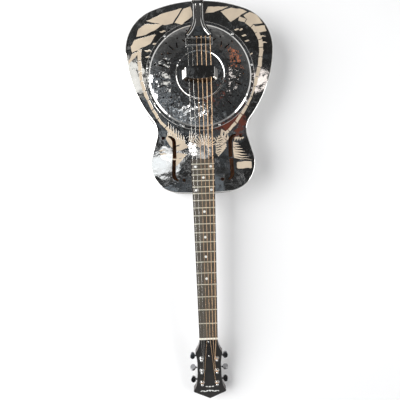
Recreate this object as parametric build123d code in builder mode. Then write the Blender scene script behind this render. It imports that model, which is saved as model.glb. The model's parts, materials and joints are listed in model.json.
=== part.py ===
from build123d import *
import math
import os

os.makedirs("parts", exist_ok=True)

# Single-cone resonator guitar with a metal body, lying on its back. Millimetres and degrees.
# Origin: on the flat back, under the bridge. +X is the treble side, +Y runs from the tail
# to the head, and +Z comes out of the top.

# ---- Driving dimensions ----
SCALE_LENGTH = 635.0
FRET_COUNT = 19
BODY_FRET = 14
JOINT_WIDTH = 54.5
NUT_WIDTH = 44.5

BODY_DEPTH = 82.0
TAIL_Y = -186.9
SHEET = 1.0
SEAM_GAP = 0.05
TOP_EDGE_RADIUS = 3.0
BACK_EDGE_RADIUS = 2.5
TOP_LIP = 6.0
BACK_LIP = 5.0
# Right half of the outline from the tail round to the neck end: arc radius, angle turned.
BOUT_ARCS = ((317.7, 20.8), (104.5, 71.4), (289.0, 35.5), (49.8, -54.2))
WAIST_STRAIGHT = 46.9
SHOULDER_ARC = (69.7, 102.9)

CONE_Y = -3.0
CONE_CENTRE = (0, CONE_Y)
WELL_RADIUS = 123.0
WELL_FLANGE_RADIUS = 134.0
WELL_FLOOR = 56.0
WELL_LEDGE_RADIUS = 107.0
CONE_RADIUS = 120.5
CONE_APEX_RADIUS = 32.0
CONE_APEX_Z = 83.0
CONE_SHEET = 0.6
BISCUIT_RADIUS = 31.5
BISCUIT_TOP = 90.4
SADDLE_WIDTH = 3.0
SADDLE_HALF_LENGTH = 31.0
SADDLE_FOOT = 88.0

COVER_RADIUS = 132.0
COVER_STEP_RADIUS = 124.5
COVER_STEP_RUN = 3.4
COVER_DOME_Z = 91.0
COVER_BOSS_RADIUS = 56.0
COVER_BOSS_Z = 92.0
COVER_WINDOW = (66.0, 9.0, 3.0)
COVER_SHEET = 0.9
COVER_SCREWS = 9
COVER_SCREW_CIRCLE = 128.4
REST_TOP = 110.0
REST_HALF_TOP = 33.5
REST_HALF_FOOT = 50.0
REST_SHEET = 1.6

STRING_RADII = (0.203, 0.229, 0.356, 0.483, 0.584, 0.711)
STRING_SPREAD_NUT = 36.0
STRING_SPREAD_SADDLE = 54.0
STRING_Z_SADDLE = 101.6
STRING_UP_NUT = 8.1
BALL_RADIUS = 2.0

TAIL_PLATE_Z = 91.5
TAIL_PLATE = 1.5
TAIL_END_Y = -70.0
TAIL_BAR = (-89.0, -72.0)
TAIL_BAR_TOP = 97.4
TAIL_HALF_STEM = 14.0
TAIL_HALF_END = 33.0
HINGE_Y = -185.8
HINGE_Z = 87.0
HINGE_BARREL = 3.0
HINGE_PIN = 1.5
RUNNING = 0.05

NECK_ANGLE = 1.5
HEAD_ANGLE = 14.0
BOARD_THICKNESS = 6.35
BINDING = 1.4
DOUBLE_DOT_X = 18.5
BOARD_END_Y = 200.0
NUT_LENGTH = 5.0
NECK_DEPTH_HEEL = 22.0
NECK_DEPTH_NUT = 19.5
HEEL_DEPTH = 73.0
HEEL_RUN = 62.0
HEEL_FACE_Y = 282.4
HEAD_THICKNESS = 14.0
VENEER = 1.45
HEAD_LENGTH = 178.0
STICK_HALF_WIDTH = 12.5
STICK_Z = (20.0, 45.0)

POST_X = 19.0
POST_ALONG = (54.5, 90.8, 127.1)
POST_RADIUS = 3.0
POST_TOP = 13.0
POST_CHAMFER = 0.7
POST_WAIST = (6.2, 9.0)
POST_WAIST_RADIUS = 2.55
POST_TENON_RADIUS = 1.85
POST_HOLE_RADIUS = 0.95
STRING_UP_POST = 7.6
GEAR_TEETH = 18
GEAR_PITCH_RADIUS = 5.2
GEAR_TIP_RADIUS = 5.7
GEAR_ROOT_RADIUS = 4.55
GEAR_FACE = 2.4
GEAR_SCREW_RADIUS = 3.1
GEAR_SCREW_HEAD = 1.3
WORM_PITCH = 2 * math.pi * GEAR_PITCH_RADIUS / GEAR_TEETH
WORM_ROOT_RADIUS = 1.45
WORM_THREAD = 1.15
WORM_OFFSET = 7.3
WORM_TURNS = 4
WORM_UP = -18.1
WORM_SHAFT_RADIUS = 1.5
WORM_HALF_LENGTH = 4.2
WORM_COLLAR_RADIUS = 2.4
WORM_COLLAR = 1.2
BUTTON_OUT = 42.5
BUTTON_TURNS = (25.0, 80.0, 20.0, 35.0, 90.0, 15.0)

# ---- Derived places ----
JOINT_Y = SCALE_LENGTH * 2 ** (-BODY_FRET / 12)
NUT_ALONG = SCALE_LENGTH - JOINT_Y
BOARD_END = BOARD_END_Y - JOINT_Y
X_DIR = Vector(1, 0, 0)


def tilted(angle):
    """Unit vectors along and out of a plane that falls away towards the head by angle."""
    turn = math.radians(angle)
    along = Vector(0, math.cos(turn), -math.sin(turn))
    up = Vector(0, math.sin(turn), math.cos(turn))
    return along, up


NECK_RUN, NECK_UP = tilted(NECK_ANGLE)
HEAD_RUN, HEAD_UP = tilted(NECK_ANGLE + HEAD_ANGLE)
JOINT = Vector(0, JOINT_Y, BODY_DEPTH)


def neck_point(across, along, up):
    """Place given across, along and above the top of the neck, from the body joint."""
    return JOINT + X_DIR * across + NECK_RUN * along + NECK_UP * up


HEAD_START = neck_point(0, NUT_ALONG + NUT_LENGTH, 0)
HEAD_PLANE = Plane(origin=HEAD_START, x_dir=X_DIR, z_dir=HEAD_UP)


def head_point(across, along, up):
    """Place given across, along and above the wood of the headstock, from behind the nut."""
    return HEAD_START + X_DIR * across + HEAD_RUN * along + HEAD_UP * up


def neck_width(along):
    """Width of the neck at a distance along it from the body joint."""
    return JOINT_WIDTH + (NUT_WIDTH - JOINT_WIDTH) * along / NUT_ALONG


def fret_along(number):
    """Distance of a fret along the neck from the body joint."""
    return NUT_ALONG - SCALE_LENGTH * (1 - 2 ** (-number / 12))


def finish(piece, label):
    """Label a piece and write it to its own file."""
    piece.part.label = label
    export_step(piece.part, f"parts/{label}.step")


# ---- Body shell ----
def body_outline(inset=0.0):
    """Draw the outline of the body, moved in by inset."""
    with BuildLine() as edge:
        start = Vector(0, TAIL_Y + inset)
        heading = Vector(1, 0)
        turned = 0.0
        for radius, angle in BOUT_ARCS:
            moved_radius = radius - inset * math.copysign(1, angle)
            bend = JernArc(start, heading, moved_radius, angle)
            start, heading = bend @ 1, bend % 1
            turned += angle
        waist = Line(start, start + heading * WAIST_STRAIGHT)
        shoulder = JernArc(waist @ 1, heading, SHOULDER_ARC[0] - inset, SHOULDER_ARC[1])
        last_turn = 180 - turned - SHOULDER_ARC[1]
        last_radius = (shoulder @ 1).X / math.sin(math.radians(last_turn))
        JernArc(shoulder @ 1, shoulder % 1, last_radius, last_turn)
        mirror(about=Plane.YZ)
    make_face(edge.edges())


def rolled_slab(inset, base, height, edge_radius):
    """Slab in the outline of the body, rising from the base plane, with its far edge rounded."""
    with BuildPart() as slab:
        with BuildSketch(base):
            body_outline(inset)
        extrude(amount=height)
        far_face = slab.faces().sort_by(Axis(base.origin, base.z_dir))[-1]
        fillet(far_face.edges(), edge_radius)
    return slab.part


def f_hole(side):
    """Draw one f-hole: two round ends and a long slot with a bar left across it."""
    with BuildLine() as edge:
        upper = Line((side * 63.4, 196.5), (side * 63.4, 158))
        hook = TangentArc(upper @ 1, (side * 82, 140.4), tangent=(0, -1))
        tip = Line(hook @ 1, (side * 83, 143.6))
        upper_inner = Line((side * 72.6, 196.5), (side * 72.6, 158.5))
        TangentArc(upper_inner @ 1, tip @ 1, tangent=(0, -1))
        Line(upper @ 0, upper_inner @ 0)
    make_face(edge.edges())
    with BuildLine() as edge:
        lower = Line((side * 74.2, 199.5), (side * 75.6, 236))
        hook = TangentArc(lower @ 1, (side * 61, 251.4), tangent=lower % 1)
        tip = Line(hook @ 1, (side * 60, 248.4))
        lower_inner = Line((side * 65, 199.5), (side * 66.4, 236))
        TangentArc(lower_inner @ 1, tip @ 1, tangent=lower_inner % 1)
        Line(lower @ 0, lower_inner @ 0)
    make_face(edge.edges())
    with Locations((side * 94, 146), (side * 46.6, 249.5)):
        Circle(4.1)


TOP_BASE = Plane.XY.offset(BODY_DEPTH - TOP_LIP)
BACK_BASE = Plane(origin=(0, 0, BACK_LIP), x_dir=(-1, 0, 0), z_dir=(0, 0, -1))
top_outer = rolled_slab(0, TOP_BASE, TOP_LIP, TOP_EDGE_RADIUS)
top_inner = rolled_slab(SHEET, TOP_BASE, TOP_LIP - SHEET, TOP_EDGE_RADIUS - SHEET)
back_outer = rolled_slab(0, BACK_BASE, BACK_LIP, BACK_EDGE_RADIUS)
back_inner = rolled_slab(SHEET, BACK_BASE, BACK_LIP - SHEET, BACK_EDGE_RADIUS - SHEET)

with BuildPart() as body_top:
    add(top_outer)
    add(top_inner, mode=Mode.SUBTRACT)
    with BuildSketch(TOP_BASE):
        with Locations(CONE_CENTRE):
            Circle(WELL_RADIUS)
            with PolarLocations(COVER_SCREW_CIRCLE, COVER_SCREWS, start_angle=30):
                Circle(1.5)
        f_hole(1)
        f_hole(-1)
    extrude(amount=BODY_DEPTH, mode=Mode.SUBTRACT)
finish(body_top, "body_top")

with BuildPart() as body_back:
    add(back_outer)
    add(back_inner, mode=Mode.SUBTRACT)
finish(body_back, "body_back")

SIDE_BOTTOM = BACK_EDGE_RADIUS + SEAM_GAP
SIDE_TOP = BODY_DEPTH - TOP_EDGE_RADIUS
BUTTON_Z = 32.0
HANGER_SCREW_Z = (54.0, 63.0, 72.0)
with BuildPart() as body_sides:
    with BuildSketch(Plane.XY.offset(SIDE_BOTTOM)):
        body_outline(SHEET + SEAM_GAP)
    extrude(amount=SIDE_TOP - SIDE_BOTTOM)
    with BuildSketch(Plane.XY.offset(SIDE_BOTTOM)):
        body_outline(2 * SHEET + SEAM_GAP)
    extrude(amount=SIDE_TOP - SIDE_BOTTOM, mode=Mode.SUBTRACT)
    with BuildSketch(Plane.XZ.offset(-HEEL_FACE_Y - 5)):
        with Locations((0, sum(STICK_Z) / 2)):
            Rectangle(2 * STICK_HALF_WIDTH + 1, STICK_Z[1] - STICK_Z[0] + 1)
    extrude(amount=20, mode=Mode.SUBTRACT)
    with BuildSketch(Plane.XZ.offset(-TAIL_Y - 10)):
        with Locations((0, BUTTON_Z)):
            Circle(2.6)
        with Locations(*[(0, height) for height in HANGER_SCREW_Z]):
            Circle(1.6)
    extrude(amount=20, mode=Mode.SUBTRACT)
finish(body_sides, "body_sides")

# ---- Cone well ----
WELL_TOP = BODY_DEPTH - SHEET - SEAM_GAP
with BuildPart() as cone_well:
    with BuildSketch(Plane.XZ):
        with BuildLine():
            Polyline(
                (WELL_LEDGE_RADIUS, WELL_FLOOR),
                (WELL_RADIUS - SHEET, WELL_FLOOR),
                (WELL_RADIUS - SHEET, WELL_TOP),
                (WELL_FLANGE_RADIUS, WELL_TOP),
                (WELL_FLANGE_RADIUS, WELL_TOP - SHEET),
                (WELL_RADIUS, WELL_TOP - SHEET),
                (WELL_RADIUS, WELL_FLOOR - SHEET),
                (WELL_LEDGE_RADIUS, WELL_FLOOR - SHEET),
                close=True,
            )
        make_face()
    revolve(axis=Axis.Z)
    with PolarLocations(COVER_SCREW_CIRCLE, COVER_SCREWS, start_angle=30):
        with Locations((0, 0, WELL_TOP)):
            Cylinder(1.45, 8, mode=Mode.SUBTRACT)
    # Sound windows through the wall, above the ledge.
    with PolarLocations(WELL_RADIUS, 10, start_angle=18):
        with Locations((0, 0, WELL_FLOOR + 12)):
            Box(8, 40, 12, mode=Mode.SUBTRACT)
cone_well.part.position = (0, CONE_Y, 0)
finish(cone_well, "cone_well")

# ---- Cone, biscuit and saddle ----
SCREW_SHANK = 1.8
CONE_SKIRT_RADIUS = CONE_RADIUS - 12
cone_slope = (CONE_APEX_Z - WELL_FLOOR) / (CONE_RADIUS - CONE_APEX_RADIUS)
skirt_z = CONE_APEX_Z - (CONE_SKIRT_RADIUS - CONE_APEX_RADIUS) * cone_slope
with BuildPart() as resonator_cone:
    with BuildSketch(Plane.XZ):
        with BuildLine():
            rim_low = WELL_FLOOR + SEAM_GAP
            Polyline(
                (SCREW_SHANK + RUNNING, CONE_APEX_Z),
                (CONE_APEX_RADIUS, CONE_APEX_Z),
                (CONE_SKIRT_RADIUS, skirt_z + 1.5),
                (CONE_RADIUS - 7, rim_low + CONE_SHEET),
                (CONE_RADIUS - CONE_SHEET, rim_low + CONE_SHEET),
                (CONE_RADIUS - CONE_SHEET, rim_low + 4),
                (CONE_RADIUS, rim_low + 4),
                (CONE_RADIUS, rim_low),
                (CONE_RADIUS - 7.5, rim_low),
                (CONE_SKIRT_RADIUS - 0.5, skirt_z + 1),
                (CONE_APEX_RADIUS, CONE_APEX_Z - CONE_SHEET),
                (SCREW_SHANK + RUNNING, CONE_APEX_Z - CONE_SHEET),
                close=True,
            )
        make_face()
    revolve(axis=Axis.Z)
resonator_cone.part.position = (0, CONE_Y, 0)
finish(resonator_cone, "resonator_cone")


def string_x(number, spread):
    """Place across the neck of a string, numbered 1 on the treble side to 6 on the bass side."""
    return spread * (0.5 - (number - 1) / 5)


TAIL_STRING_Z = TAIL_PLATE_Z + TAIL_PLATE + BALL_RADIUS + 0.1
BALL_Y = TAIL_BAR[0] - BALL_RADIUS - 0.1


def string_route(number):
    """Corner points of a string, from its ball end over saddle and nut to its post."""
    side = 1 if number <= 3 else -1
    row = number - 1 if number <= 3 else 6 - number
    at_saddle = string_x(number, STRING_SPREAD_SADDLE)
    past_post = POST_X - POST_RADIUS - STRING_RADII[number - 1] - 0.35
    return (
        Vector(at_saddle, BALL_Y, TAIL_STRING_Z),
        Vector(at_saddle, CONE_Y, STRING_Z_SADDLE),
        neck_point(string_x(number, STRING_SPREAD_NUT), NUT_ALONG + 0.8, STRING_UP_NUT),
        head_point(side * past_post, POST_ALONG[row], STRING_UP_POST),
    )


def string_core(number, extra=0.0):
    """Round wire along a string's route, made thicker by extra on its radius."""
    route = string_route(number)
    with BuildPart() as wire:
        with BuildLine() as path:
            Polyline(*route)
        with BuildSketch(Plane(origin=route[0], z_dir=path.line % 0)):
            Circle(STRING_RADII[number - 1] + extra)
        sweep(transition=Transition.RIGHT)
    return wire.part


string_slots = [string_core(number, RUNNING) for number in range(1, 7)]

with BuildPart() as biscuit:
    with BuildSketch(Plane.XY.offset(CONE_APEX_Z + SEAM_GAP)):
        with Locations(CONE_CENTRE):
            Circle(BISCUIT_RADIUS)
    extrude(amount=BISCUIT_TOP - CONE_APEX_Z - SEAM_GAP)
    fillet(biscuit.edges().sort_by(Axis.Z)[-1], 1)
    with Locations((0, CONE_Y, BISCUIT_TOP)):
        Box(100, SADDLE_WIDTH + 0.1, 2 * (BISCUIT_TOP - SADDLE_FOOT), mode=Mode.SUBTRACT)
    with Locations((0, CONE_Y, CONE_APEX_Z)):
        Cylinder(SCREW_SHANK, 8, mode=Mode.SUBTRACT)
finish(biscuit, "biscuit")

with BuildPart() as saddle:
    with BuildSketch(Plane.XZ.offset(-CONE_Y - SADDLE_WIDTH / 2)):
        with BuildLine():
            Polyline(
                (-SADDLE_HALF_LENGTH + 2, SADDLE_FOOT + 0.1),
                (SADDLE_HALF_LENGTH - 2, SADDLE_FOOT + 0.1),
                (SADDLE_HALF_LENGTH, BISCUIT_TOP + 2),
                (SADDLE_HALF_LENGTH - 1, STRING_Z_SADDLE),
                (-SADDLE_HALF_LENGTH + 1, STRING_Z_SADDLE),
                (-SADDLE_HALF_LENGTH, BISCUIT_TOP + 2),
                close=True,
            )
        make_face()
    extrude(amount=SADDLE_WIDTH)
    chamfer(saddle.faces().sort_by(Axis.Z)[-1].edges().filter_by(Axis.X), 0.9)
    for slot in string_slots:
        add(slot, mode=Mode.SUBTRACT)
finish(saddle, "saddle")

with BuildPart() as biscuit_screw:
    with BuildSketch(Plane.XY.offset(CONE_APEX_Z - CONE_SHEET - SEAM_GAP - 1.8)):
        with Locations(CONE_CENTRE):
            Circle(3.6)
    extrude(amount=1.8)
    fillet(biscuit_screw.edges().sort_by(Axis.Z)[0], 0.8)
    with BuildSketch(Plane.XY.offset(CONE_APEX_Z - CONE_SHEET - SEAM_GAP)):
        with Locations(CONE_CENTRE):
            Circle(SCREW_SHANK - RUNNING)
    extrude(amount=4.5)
finish(biscuit_screw, "biscuit_screw")

# ---- Cover plate and hand rest ----
COVER_LOW = BODY_DEPTH + SEAM_GAP
SLOT_GROUPS = 12


def cover_piercings():
    """Draw the slots and dots of the cover plate, repeated round its centre."""
    with PolarLocations(0, SLOT_GROUPS, start_angle=15):
        with Locations((95, 0)):
            SlotOverall(17, 3.2)
        with Locations((112.5, 0), (74, 0)):
            Circle(2.1)
        for side in (1, -1):
            turn = math.radians(side * 8.5)
            with Locations(Location((90 * math.cos(turn), 90 * math.sin(turn)), side * 36)):
                SlotOverall(13, 3.0)
        turn = math.radians(15)
        with Locations((104 * math.cos(turn), 104 * math.sin(turn))):
            Circle(2.1)


with BuildPart() as cover_plate:
    with BuildSketch(Plane.XZ):
        with BuildLine():
            flange = Polyline(
                (COVER_RADIUS - 1, COVER_LOW),
                (COVER_RADIUS, COVER_LOW + 0.4),
                (COVER_RADIUS - 0.6, COVER_LOW + COVER_SHEET),
                (COVER_STEP_RADIUS, COVER_LOW + COVER_SHEET),
                (COVER_STEP_RADIUS - COVER_STEP_RUN, COVER_LOW + COVER_SHEET + 2.2),
            )
            dome = ThreePointArc(
                flange @ 1,
                ((COVER_STEP_RADIUS + COVER_BOSS_RADIUS) / 2, COVER_DOME_Z - 1.6),
                (COVER_BOSS_RADIUS + 3.5, COVER_DOME_Z),
            )
            boss = Polyline(
                dome @ 1,
                (COVER_BOSS_RADIUS + 1.5, COVER_DOME_Z - 1.0),
                (COVER_BOSS_RADIUS, COVER_BOSS_Z),
                (0, COVER_BOSS_Z),
                (0, COVER_BOSS_Z - COVER_SHEET),
                (COVER_BOSS_RADIUS - 0.6, COVER_BOSS_Z - COVER_SHEET),
                (COVER_BOSS_RADIUS + 1.1, COVER_DOME_Z - 1.0 - COVER_SHEET),
                (COVER_BOSS_RADIUS + 3.9, COVER_DOME_Z - COVER_SHEET),
            )
            inner_dome = ThreePointArc(
                boss @ 1,
                ((COVER_STEP_RADIUS + COVER_BOSS_RADIUS) / 2, COVER_DOME_Z - 1.6 - COVER_SHEET),
                (COVER_STEP_RADIUS - COVER_STEP_RUN - 0.5, COVER_LOW + 2.2),
            )
            Polyline(inner_dome @ 1, (COVER_STEP_RADIUS - 0.4, COVER_LOW), flange @ 0)
        make_face()
    revolve(axis=Axis.Z)
    with BuildSketch(Plane.XY.offset(COVER_LOW - 1)):
        cover_piercings()
        # Window for the saddle, hidden below the hand rest.
        RectangleRounded(*COVER_WINDOW)
        with PolarLocations(COVER_SCREW_CIRCLE, COVER_SCREWS, start_angle=30):
            Circle(1.6)
    extrude(amount=14, mode=Mode.SUBTRACT)
cover_plate.part.position = (0, CONE_Y, 0)
finish(cover_plate, "cover_plate")

with BuildPart() as cover_screws:
    with BuildSketch(Plane.XZ):
        with BuildLine():
            head_low = COVER_LOW + COVER_SHEET + 0.15
            Polyline((0, head_low + 1.5), (0, 74), (1.35, 74), (1.35, head_low), (2.9, head_low))
            ThreePointArc((2.9, head_low), (1.9, head_low + 1.1), (0, head_low + 1.5))
        make_face()
    revolve(axis=Axis.Z)
    with Locations((0, 0, head_low + 1.5)):
        Box(0.7, 8, 1.2, mode=Mode.SUBTRACT)
        Box(8, 0.7, 1.2, mode=Mode.SUBTRACT)
one_cover_screw = cover_screws.part
with BuildPart() as cover_screws:
    with Locations((0, CONE_Y, 0)):
        with PolarLocations(COVER_SCREW_CIRCLE, COVER_SCREWS, start_angle=30):
            add(one_cover_screw)
finish(cover_screws, "cover_screws")

with BuildPart() as hand_rest:
    with BuildSketch(Plane.XZ.offset(-CONE_Y)):
        with BuildLine():
            foot_top = COVER_BOSS_Z + SEAM_GAP + REST_SHEET
            Polyline(
                (-REST_HALF_FOOT, foot_top - REST_SHEET),
                (-REST_HALF_FOOT, foot_top),
                (-REST_HALF_TOP - 9, foot_top),
                (-REST_HALF_TOP - 0.8, REST_TOP),
                (REST_HALF_TOP + 0.8, REST_TOP),
                (REST_HALF_TOP + 9, foot_top),
                (REST_HALF_FOOT, foot_top),
                (REST_HALF_FOOT, foot_top - REST_SHEET),
                (REST_HALF_TOP + 7.8, foot_top - REST_SHEET),
                (REST_HALF_TOP - 0.4, REST_TOP - REST_SHEET),
                (-REST_HALF_TOP + 0.4, REST_TOP - REST_SHEET),
                (-REST_HALF_TOP - 7.8, foot_top - REST_SHEET),
                close=True,
            )
        make_face()
    extrude(amount=20, both=True)
    fillet(hand_rest.edges().filter_by(Axis.Y).group_by(Axis.Z)[-1], 2.5)
    with BuildSketch(Plane.XY.offset(80)):
        with BuildLine():
            half = REST_HALF_FOOT
            low = CONE_Y - 13
            peak = ThreePointArc((0, low - 3.2), (8, low - 1.6), (20, low - 0.6))
            tail_edge = ThreePointArc(peak @ 1, (30, low), (REST_HALF_TOP, low + 2.2))
            tail_foot = ThreePointArc(tail_edge @ 1, (40, low + 3), (half, low + 1))
            end = Line(tail_foot @ 1, (half, -low + 2 * CONE_Y + 1))
            head_foot = ThreePointArc(end @ 1, (40, 8.5), (REST_HALF_TOP, 8))
            ThreePointArc(head_foot @ 1, (18, 11.5), (0, 12.2))
            mirror(about=Plane.YZ)
        make_face()
    extrude(amount=40, mode=Mode.INTERSECT)
finish(hand_rest, "hand_rest")

# ---- Tailpiece and its hanger ----
TAIL_BEND_Y = -118.0
TAIL_LOW_Y = -177.0
TAIL_LOW_Z = HINGE_Z - 0.9


def tail_profile(thickness):
    """Side view of the tailpiece plate, with the given thickness."""
    with BuildLine() as edge:
        Polyline(
            (TAIL_END_Y, TAIL_PLATE_Z),
            (TAIL_END_Y, TAIL_PLATE_Z + thickness),
            (TAIL_BEND_Y, TAIL_PLATE_Z + thickness),
            (TAIL_LOW_Y, TAIL_LOW_Z + thickness),
            (HINGE_Y, TAIL_LOW_Z + thickness),
            (HINGE_Y, TAIL_LOW_Z),
            (TAIL_LOW_Y, TAIL_LOW_Z),
            (TAIL_BEND_Y, TAIL_PLATE_Z),
            close=True,
        )
    make_face(edge.edges())


def tail_blank(thickness):
    """Block with the side view of the tailpiece."""
    with BuildPart() as blank:
        with BuildSketch(Plane.YZ):
            tail_profile(thickness)
        extrude(amount=TAIL_HALF_END + 5, both=True)
    return blank.part


def tail_spade():
    """Draw the plan of the tailpiece plate: narrow stem, flare and square end."""
    with BuildLine() as edge:
        Polyline((0, HINGE_Y), (6.6, HINGE_Y), (6.6, -180), (TAIL_HALF_STEM, -178))
        stem = Line((TAIL_HALF_STEM, -178), (TAIL_HALF_STEM, -141))
        flare = TangentArc(stem @ 1, (21, -117), tangent=(0, 1))
        cove = ThreePointArc(flare @ 1, (26, -108.5), (TAIL_HALF_END, -101))
        corner = (TAIL_HALF_END, TAIL_END_Y - 2)
        Polyline(cove @ 1, corner, (TAIL_HALF_END - 2, TAIL_END_Y), (0, TAIL_END_Y))
        mirror(about=Plane.YZ)
    make_face(edge.edges())


def tail_rib(side):
    """Draw the plan of one raised rib, from the stem out to a corner of the square end."""
    with BuildLine() as edge:
        outer = Line((side * 11.5, -174), (side * 11.5, -140))
        outer_bend = TangentArc(outer @ 1, (side * 30, -98), tangent=(0, 1))
        Line(outer_bend @ 1, (side * 24, -96))
        inner = Line((side * 5, -174), (side * 5, -140))
        TangentArc(inner @ 1, (side * 24, -96), tangent=(0, 1))
        Line(outer @ 0, inner @ 0)
    make_face(edge.edges())


rib_blank = tail_blank(TAIL_PLATE + 2.6)
with BuildPart() as tail_ribs:
    with BuildSketch(Plane.XY.offset(HINGE_Z - 10)):
        tail_rib(1)
        tail_rib(-1)
    extrude(amount=30)
    add(rib_blank, mode=Mode.INTERSECT)
    chamfer(tail_ribs.faces().sort_by(Axis.Z)[-2:].edges(), 1.2)

plate_blank = tail_blank(TAIL_PLATE)
with BuildPart() as tailpiece:
    with BuildSketch(Plane.XY.offset(HINGE_Z - 10)):
        tail_spade()
    extrude(amount=30)
    add(plate_blank, mode=Mode.INTERSECT)
    add(tail_ribs.part)
    with BuildSketch(Plane.XY.offset(TAIL_PLATE_Z + 0.5)):
        with Locations((0, sum(TAIL_BAR) / 2)):
            Rectangle(2 * TAIL_HALF_END - 2, TAIL_BAR[1] - TAIL_BAR[0])
    extrude(amount=TAIL_BAR_TOP - TAIL_PLATE_Z - 0.5)
    fillet(tailpiece.faces().sort_by(Axis.Z)[-1].edges(), 1.5)
    with BuildSketch(Plane.YZ):
        with Locations((HINGE_Y, HINGE_Z)):
            Circle(HINGE_BARREL)
    extrude(amount=6.6, both=True)
    with BuildSketch(Plane.YZ):
        with Locations((HINGE_Y, HINGE_Z)):
            Circle(HINGE_PIN + RUNNING)
    extrude(amount=20, both=True, mode=Mode.SUBTRACT)
    for number in range(1, 7):
        slot_width = 2 * STRING_RADII[number - 1] + 0.6
        with BuildSketch(Plane.XY.offset(TAIL_STRING_Z - slot_width / 2)):
            with Locations((string_x(number, STRING_SPREAD_SADDLE), sum(TAIL_BAR) / 2)):
                Rectangle(slot_width, 30)
        extrude(amount=10, mode=Mode.SUBTRACT)
finish(tailpiece, "tailpiece")

with BuildPart() as tailpiece_hinge_pin:
    with BuildSketch(Plane.YZ):
        with Locations((HINGE_Y, HINGE_Z)):
            Circle(HINGE_PIN)
    extrude(amount=TAIL_HALF_STEM + 0.8, both=True)
    chamfer(tailpiece_hinge_pin.edges().filter_by(GeomType.CIRCLE), 0.3)
finish(tailpiece_hinge_pin, "tailpiece_hinge_pin")

HANGER_FACE = TAIL_Y - 0.1
HANGER_SHEET = 1.6
with BuildPart() as tailpiece_hanger:
    with BuildSketch(Plane.XZ.offset(-HANGER_FACE)):
        with BuildLine():
            Polyline((0, 46), (7, 47.5), (TAIL_HALF_STEM, 58), (TAIL_HALF_STEM, HINGE_Z), (0, HINGE_Z))
            mirror(about=Plane.YZ)
        make_face()
    extrude(amount=HANGER_SHEET)
    with BuildSketch(Plane.YZ):
        with Locations((HINGE_Y, HINGE_Z)):
            Circle(HINGE_BARREL)
    extrude(amount=TAIL_HALF_STEM, both=True)
    with Locations((0, HINGE_Y, HINGE_Z)):
        Box(14, 12, 9, mode=Mode.SUBTRACT)
    with BuildSketch(Plane.YZ):
        with Locations((HINGE_Y, HINGE_Z)):
            Circle(HINGE_PIN + RUNNING)
    extrude(amount=20, both=True, mode=Mode.SUBTRACT)
    with BuildSketch(Plane.XZ.offset(-HANGER_FACE - 3)):
        with Locations(*[(0, height) for height in HANGER_SCREW_Z]):
            Circle(1.6)
    extrude(amount=8, mode=Mode.SUBTRACT)
finish(tailpiece_hanger, "tailpiece_hanger")

with BuildPart() as one_tail_screw:
    with BuildSketch(Plane.XY):
        with BuildLine():
            Polyline((0, 1.4), (0, -9), (1.5, -9), (1.5, 0), (3.0, 0))
            ThreePointArc((3.0, 0), (2.0, 1.0), (0, 1.4))
        make_face()
    revolve(axis=Axis.Y)
    with Locations((0, 1.4, 0)):
        Box(8, 1.2, 0.7, mode=Mode.SUBTRACT)
        Box(0.7, 1.2, 8, mode=Mode.SUBTRACT)
screw_facing_tail = one_tail_screw.part.rotate(Axis.X, 180)
with BuildPart() as tail_screws:
    with Locations(*[(0, HANGER_FACE - HANGER_SHEET - 0.1, height) for height in HANGER_SCREW_Z]):
        add(screw_facing_tail)
finish(tail_screws, "tail_screws")

with BuildPart() as end_button:
    with BuildSketch(Plane.XY):
        with BuildLine():
            Polyline(
                (0, 8),
                (2.5, 8),
                (2.5, -0.05),
                (6.5, -0.05),
                (6.5, -1.5),
                (4.2, -4),
                (4.2, -7.5),
                (7, -9.5),
                (7, -10.6),
                (5.4, -11.7),
                (0, -12),
                close=True,
            )
        make_face()
    revolve(axis=Axis.Y)
end_button.part.position = (0, TAIL_Y + SHEET, BUTTON_Z)
finish(end_button, "end_button")

# ---- Neck stick and its posts ----
STICK_END = TAIL_Y + 2 * SHEET + 0.6
with BuildPart() as neck_stick:
    with BuildSketch(Plane.XY.offset(STICK_Z[0])):
        with Locations((0, (STICK_END + HEEL_FACE_Y) / 2)):
            Rectangle(2 * STICK_HALF_WIDTH, HEEL_FACE_Y - STICK_END - SEAM_GAP)
    extrude(amount=STICK_Z[1] - STICK_Z[0])
    chamfer(neck_stick.edges().filter_by(Axis.Y), 1.5)
    with BuildSketch(Plane.XZ.offset(-STICK_END + 1)):
        with Locations((0, BUTTON_Z)):
            Circle(2.55)
    extrude(amount=-12, mode=Mode.SUBTRACT)
finish(neck_stick, "neck_stick")

with BuildPart() as stick_posts:
    with BuildSketch(Plane.XY.offset(SHEET + SEAM_GAP)):
        with Locations((0, -150), (0, -65), (0, 35), (0, 130), (0, 225)):
            Circle(10)
    extrude(amount=STICK_Z[0] - SHEET - 2 * SEAM_GAP)
finish(stick_posts, "stick_posts")


# ---- Neck ----
def section_plane(along):
    """Plane across the neck, with its +Y pointing down into the wood."""
    return Plane(origin=neck_point(0, along, 0), x_dir=X_DIR, z_dir=NECK_RUN)


def neck_section(width, depth):
    """Draw a section of the neck: flat on top and half an ellipse below."""
    with BuildLine() as edge:
        EllipticalCenterArc((0, 0), width / 2, depth, start_angle=0, arc_size=180)
        Line((-width / 2, 0), (width / 2, 0))
    make_face(edge.edges())


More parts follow.
